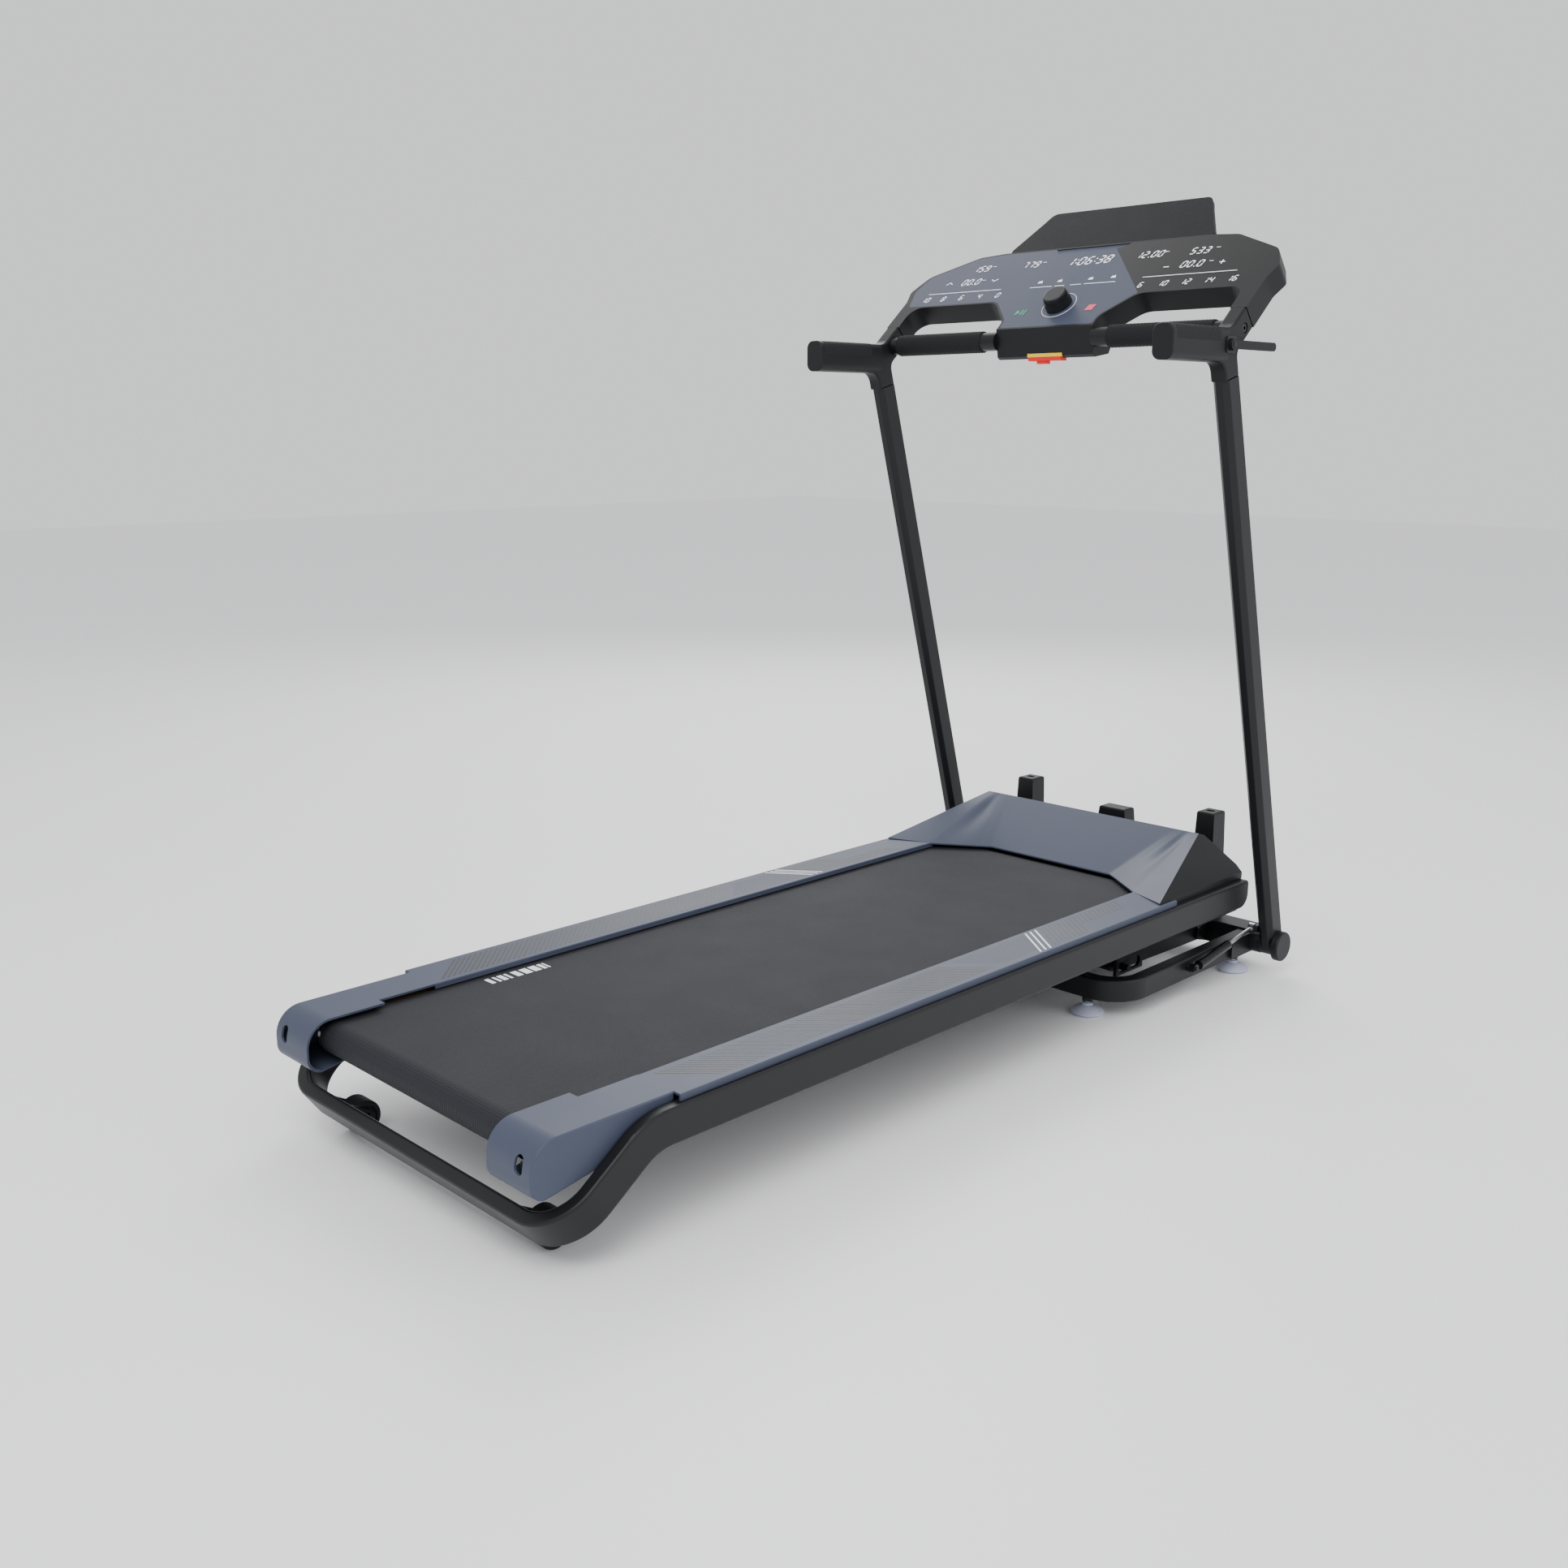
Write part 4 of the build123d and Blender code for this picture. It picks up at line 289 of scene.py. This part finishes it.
def hood_skin():
    """Upper skin of the hood as a ruled surface between its rear edge and its crest.

    point(s, t) = (1 - s) * rear(t) + s * crest(t), lowered near t = +-0.62 by
    5 mm * exp(-((|t| - 0.62) / 0.07)**2) * sin(pi * s**1.6), the two shallow flutes; closed
    by the same sheet HOOD_SKIN lower."""
    low, high = (np.array(p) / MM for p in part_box("motor_hood"))
    top, crest_x = high[2], high[0]
    # corners of the rear edge on the left: over the rail, at its inner edge, and round the belt's cut-out
    half = (
        (low[0], high[1], 181.0), (low[0] + 36, RAIL_IN, 178.0),
        (low[0] + 93, 150, 176.0), (low[0] + 105, 132, 176.0),
    )
    rear = np.array(half + tuple((x, -y, z) for x, y, z in reversed(half)))
    knots = np.array([-1, -0.72, -0.5, -0.43, 0.43, 0.5, 0.72, 1])
    crest_half = (234, 222, 200, 186)
    crest_y = np.array(crest_half + tuple(-y for y in reversed(crest_half)), float)
    ts = np.linspace(-1, 1, 161)
    ss = np.linspace(0, 1, 41)
    edge = np.stack([np.interp(ts, knots, rear[:, i]) for i in range(3)], 1)
    level = np.full(len(ts), top)
    crest = np.stack([np.full(len(ts), crest_x), np.interp(ts, knots, crest_y), level], 1)
    points = []
    for s in ss:
        row = (1 - s) * edge + s * crest
        flute = 5 * np.exp(-(((np.abs(ts) - 0.62) / 0.07) ** 2)) * np.sin(np.pi * s ** 1.6)
        row[:, 2] -= flute
        points.append(row)
    upper = np.concatenate(points)
    lower = upper - (0, 0, HOOD_SKIN)
    rows, cols = len(ss), len(ts)
    faces = []
    for i in range(rows - 1):
        for j in range(cols - 1):
            a = i * cols + j
            faces.append([a, a + 1, a + cols + 1, a + cols])
            faces.append([a + rows * cols + k for k in (cols, cols + 1, 1, 0)])
    rim = list(range(cols))
    rim += [i * cols + cols - 1 for i in range(1, rows)]
    rim += [(rows - 1) * cols + j for j in range(cols - 2, -1, -1)]
    rim += [i * cols for i in range(rows - 2, 0, -1)]
    for k, a in enumerate(rim):
        b = rim[(k + 1) % len(rim)]
        faces.append([b, a, a + rows * cols, b + rows * cols])
    points = np.concatenate([upper, lower]) * MM
    skin = surface("hood_skin", points, faces, FINISHES["slate_plastic"], "deck", True)
    skin.data.set_sharp_from_angle(angle=math.radians(35))
    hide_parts("motor_hood")


hood_skin()


# ---------------------------------------------------------------- foam sleeves
def foam_sleeves():
    """Foam on the cross bars: r = R - 0.6 mm * (1 - |cos(7t + ky) cos(7t - ky)|), chamfered ends.

    k is one turn in 13 mm along the bar."""
    low, high = (np.array(p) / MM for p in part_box("cross_grips"))
    radius = (high[2] - low[2]) / 2
    centre = ((low[0] + high[0]) / 2 * MM, 0, (low[2] + high[2]) / 2 * MM)
    bar = 12.6               # bore round the cross bar
    inner = high[1] - 192.0  # end of the sleeve by the console
    wave_number = 2 * math.pi / 13.0

    def ripple(y, t):
        return 0.6 * (1 - abs(math.cos(7 * t + wave_number * y) * math.cos(7 * t - wave_number * y)))

    for side, tag in ((1, "left"), (-1, "right")):
        ys = np.linspace(inner + 2.5, high[1] - 2.5, 170)
        profile = [(inner, bar), (inner, radius - 2.5), (inner + 0.8, radius - 0.8)]
        profile += [(y, radius) for y in ys]
        profile += [(high[1] - 0.8, radius - 0.8), (high[1], radius - 2.5), (high[1], bar)]
        profile = [(side * y, r) for y, r in profile]
        points, faces = lathe(profile, centre, 112, ripple)
        if side < 0:
            faces = [list(reversed(face)) for face in faces]
        sleeve = surface(f"foam_sleeve_{tag}", points, faces, FINISHES["grip_foam"], "console_frame", True)
        yield sleeve


sleeves = list(foam_sleeves())
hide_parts("cross_grips")

# ---------------------------------------------------------------- foot rails
RAIL_LOW, RAIL_HIGH = (np.array(p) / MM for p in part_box("foot_rails"))
RAIL_START = RAIL_LOW[0]
GROUP_LENGTH = 560.0     # long run of slanted grooves behind the dotted stretch
LINE_PITCH = 9.5
DOT = 1.6                # side of a square dot
rail_top = Sheet((0, 0, RAIL_HIGH[2] * MM), (1, 0, 0), (0, 1, 0))


def rail_marks(side):
    """Outlines of the grooves, dots and white lines of one rail, mirrored in y by side."""
    grooves, spots, lines = [], [], []
    inner, outer = RAIL_IN + 10, RAIL_HIGH[1] - 12
    for k in range(int(GROUP_LENGTH / LINE_PITCH)):
        x = RAIL_START + 18 + k * LINE_PITCH
        grooves.append(stroke((x, side * inner), (x + outer - inner, side * outer), 3.2))
    start = RAIL_START + 18 + GROUP_LENGTH + 14
    for i in range(38):
        for j in range(12):
            x, y = start + i * 5 + j * 4.6, inner + 2 + j * 4.8
            if x < RAIL_START + 775 - (y - inner) * 0.76:
                square = ((x, y), (x + DOT, y), (x + DOT, y + DOT), (x, y + DOT))
                spots.append([(a, side * b) for a, b in square])
    for k in range(3):
        x = RAIL_START + 779 + k * 12.5
        lines.append(stroke((x, side * (inner - 3)), (x - 52, side * (inner + 65)), 3.0))
    for k in range(20):
        x = RAIL_START + 779 + 37.5 + k * 10.8
        reach = 60 if k < 9 else 30
        grooves.append(stroke((x, side * inner), (x - 0.76 * reach, side * (inner + reach)), 3.4))
    return grooves, spots, lines


for side, tag in ((1, "left"), (-1, "right")):
    grooves, spots, lines = rail_marks(side)
    prisms(f"rail_grooves_{tag}", rail_top, grooves, 0.15, GROOVE, "deck")
    prisms(f"rail_dots_{tag}", rail_top, spots, 0.15, GROOVE, "deck")
    prisms(f"rail_lines_{tag}", rail_top, lines, 0.2, WHITE, "deck")

# row of white blocks printed on the belt
BELT_LOW, BELT_HIGH = (np.array(p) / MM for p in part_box("running_belt"))
belt_top = Sheet((0, 0, BELT_HIGH[2] * MM), (1, 0, 0), (0, 1, 0))
BLOCKS = ((0, 7), (13, 4), (21, 8), (33, 4), (45, 10), (60, 12), (76, 12), (92, 6), (101, 3))
blocks = []
for start, width in BLOCKS:
    x = BELT_LOW[0] + 255 + start
    blocks.append([(x, 190), (x + width, 190), (x + width, 212), (x, 212)])
prisms("belt_blocks", belt_top, blocks, 0.15, WHITE, "deck")

# ---------------------------------------------------------------- console marks
KNOB = JOINTS["knob_turn"]
normal = np.array(KNOB["axis"], float)
slope = np.array([normal[2], 0, -normal[0]])
KNOB_UP = 57.0
face = Sheet(np.array(KNOB["pos_m"]) - slope * KNOB_UP * MM, (0, -1, 0), slope)
SEGMENTS = {
    "0": "abcdef", "1": "bc", "2": "abged", "3": "abgcd", "4": "fgbc",
    "5": "afgcd", "6": "afgedc", "7": "abc", "8": "abcdefg", "9": "abcdfg",
}
SEGMENT_ENDS = {
    "a": ((0, 1), (1, 1)), "b": ((1, 1), (1, 0.5)), "c": ((1, 0.5), (1, 0)), "d": ((0, 0), (1, 0)),
    "e": ((0, 0.5), (0, 0)), "f": ((0, 1), (0, 0.5)), "g": ((0, 0.5), (1, 0.5)),
}


def number(text, across, up, height):
    """Slanted seven-segment strokes of a number; across is measured to the right, in millimetres."""
    outlines = []
    wide, gap, weight = height * 0.5, height * 0.84, height * 0.12
    total = sum(gap if c in SEGMENTS else gap * 0.4 for c in text)
    x = across - total / 2
    for character in text:
        if character not in SEGMENTS:
            for y in ((0.3, 0.7) if character == ":" else (0.03,)):
                base = up - height / 2 + y * height
                lean = y * height * 0.2
                outlines.append(stroke((x + lean, base), (x + lean + weight, base), weight))
            x += gap * 0.4
            continue
        for name in SEGMENTS[character]:
            ends = []
            for a, b in SEGMENT_ENDS[name]:
                ends.append((x + a * wide + b * height * 0.2, up - height / 2 + b * height))
            p, q = np.array(ends[0]), np.array(ends[1])
            trim = (q - p) / np.linalg.norm(q - p) * weight * 0.55
            outlines.append(stroke(p + trim, q - trim, weight))
        x += gap
    return outlines


READOUTS = (
    ("159", -236, 178, 15), ("779", -126, 178, 15), ("1:06:38", -2, 176, 19), ("12.00", 116, 178, 15),
    ("533", 211, 177, 15), ("00.0", -238, 141, 15), ("00.0", 212, 143, 15),
)
lit = []
for text, across, up, height in READOUTS:
    lit += number(text, across, up, height)
for index, text in enumerate(("10", "8", "6", "4", "0")):
    lit += number(text, -317 + index * 41.2, 97, 12)
for index, text in enumerate(("6", "10", "12", "14", "16")):
    lit += number(text, 139 + index * 41.5, 97, 12)
lit += [stroke((-296, 138), (-289, 144), 1.4), stroke((-289, 144), (-282, 138), 1.4)]
lit += [stroke((-194, 144), (-187, 138), 1.4), stroke((-187, 138), (-180, 144), 1.4)]
lit += [stroke((159, 140), (169, 140), 1.6)]
lit += [stroke((260, 142), (270, 142), 1.6), stroke((265, 137), (265, 147), 1.6)]
lit += [stroke((-321, 113), (-156, 113), 1.0), stroke((132, 117), (303, 117), 1.0)]
# short rules under the four programme marks, and the marks
for start, end in ((-92, -46), (-40, -20), (-8, 14), (20, 82)):
    lit.append(stroke((start, 111), (end, 111), 1.0))
PEAK = ((-5, 122), (5, 122), (2, 129), (-1, 126), (-3, 128))
for middle in (-77, -36, 27, 72):
    lit.append([(middle + a, b) for a, b in PEAK])
# small unit bars beside the readouts
for across, up in ((-214, 182), (-104, 182), (142, 182), (236, 182), (-216, 144), (240, 147)):
    lit.append(stroke((across, up), (across + 7, up), 0.9))
prisms("console_readouts", face, lit, 0.3, LIT, "console_frame")

RING_STEPS = 72
RING_IN, RING_OUT = 30.4, 31.4
ring = []
for k in range(RING_STEPS):
    a, b = 2 * math.pi * k / RING_STEPS, 2 * math.pi * (k + 1) / RING_STEPS
    corners = ((RING_IN, a), (RING_OUT, a), (RING_OUT, b), (RING_IN, b))
    ring.append([(r * math.cos(t), KNOB_UP + r * math.sin(t)) for r, t in corners])
prisms("knob_ring", face, ring, 0.3, WHITE, "console_frame")
play = [
    [(-83, 36), (-74, 43), (-81, 50)],
    [(-72, 36), (-69.5, 36), (-67.5, 50), (-70, 50)], [(-66, 36), (-63.5, 36), (-61.5, 50), (-64, 50)],
]
# start and stop marks: print with a faint painted glow on top of its colour
prisms("start_mark", face, play, 0.3, GREEN_PRINT_PAINTED_GLOW, "console_frame")
prisms("stop_mark", face, [[(60, 39), (74, 39), (77, 53), (63, 53)]], 0.3, RED_PRINT_PAINTED_GLOW, "console_frame")


# ---------------------------------------------------------------- stage
def area_light(name, place, size, power, aim):
    lamp = bpy.data.lights.new(name, "AREA")
    lamp.size = size
    lamp.energy = power
    thing = bpy.data.objects.new(name, lamp)
    thing.location = place
    thing.rotation_mode = "QUATERNION"
    thing.rotation_quaternion = (Vector(aim) - Vector(place)).to_track_quat("-Z", "Y")
    bpy.context.scene.collection.objects.link(thing)
    return thing


FLOOR_HALF = 14.0
floor_mesh = bpy.data.meshes.new("floor")
FLOOR_Z = CAD_BOX[0][2] - 0.0005     # half a millimetre under the feet
corners = [(FLOOR_HALF * x, FLOOR_HALF * y, FLOOR_Z) for x, y in ((-1, -1), (1, -1), (1, 1), (-1, 1))]
floor_mesh.from_pydata(corners, [], [(0, 1, 2, 3)])
floor_mesh.materials.append(printed("pale floor", "#f7f7f8"))
floor = bpy.data.objects.new("floor", floor_mesh)
bpy.context.scene.collection.objects.link(floor)
lamps = [
    area_light("key", (-2.2, -1.2, 3.4), 2.6, 105, (0, 0, 0.4)),
    area_light("fill", (1.2, -3.4, 1.8), 3.0, 40, (0, 0, 0.5)),
    area_light("back", (2.6, 2.4, 2.8), 2.2, 90, (0, 0, 0.6)),
]

world = bpy.data.worlds.new("studio")
world.use_nodes = True
world.node_tree.nodes["Background"].inputs["Color"].default_value = linear("#f8f9fb")
world.node_tree.nodes["Background"].inputs["Strength"].default_value = 1.05
bpy.context.scene.world = world

camera_data = bpy.data.cameras.new("camera")
camera_data.sensor_width = 36.0
camera_data.lens = 35.75
camera = bpy.data.objects.new("camera", camera_data)
camera.location = (-1.721, -1.616, 0.953)
camera.rotation_mode = "QUATERNION"
camera.rotation_quaternion = Vector((0.6863, 0.6919, -0.2241)).to_track_quat("-Z", "Y")
bpy.context.scene.collection.objects.link(camera)
bpy.context.scene.camera = camera
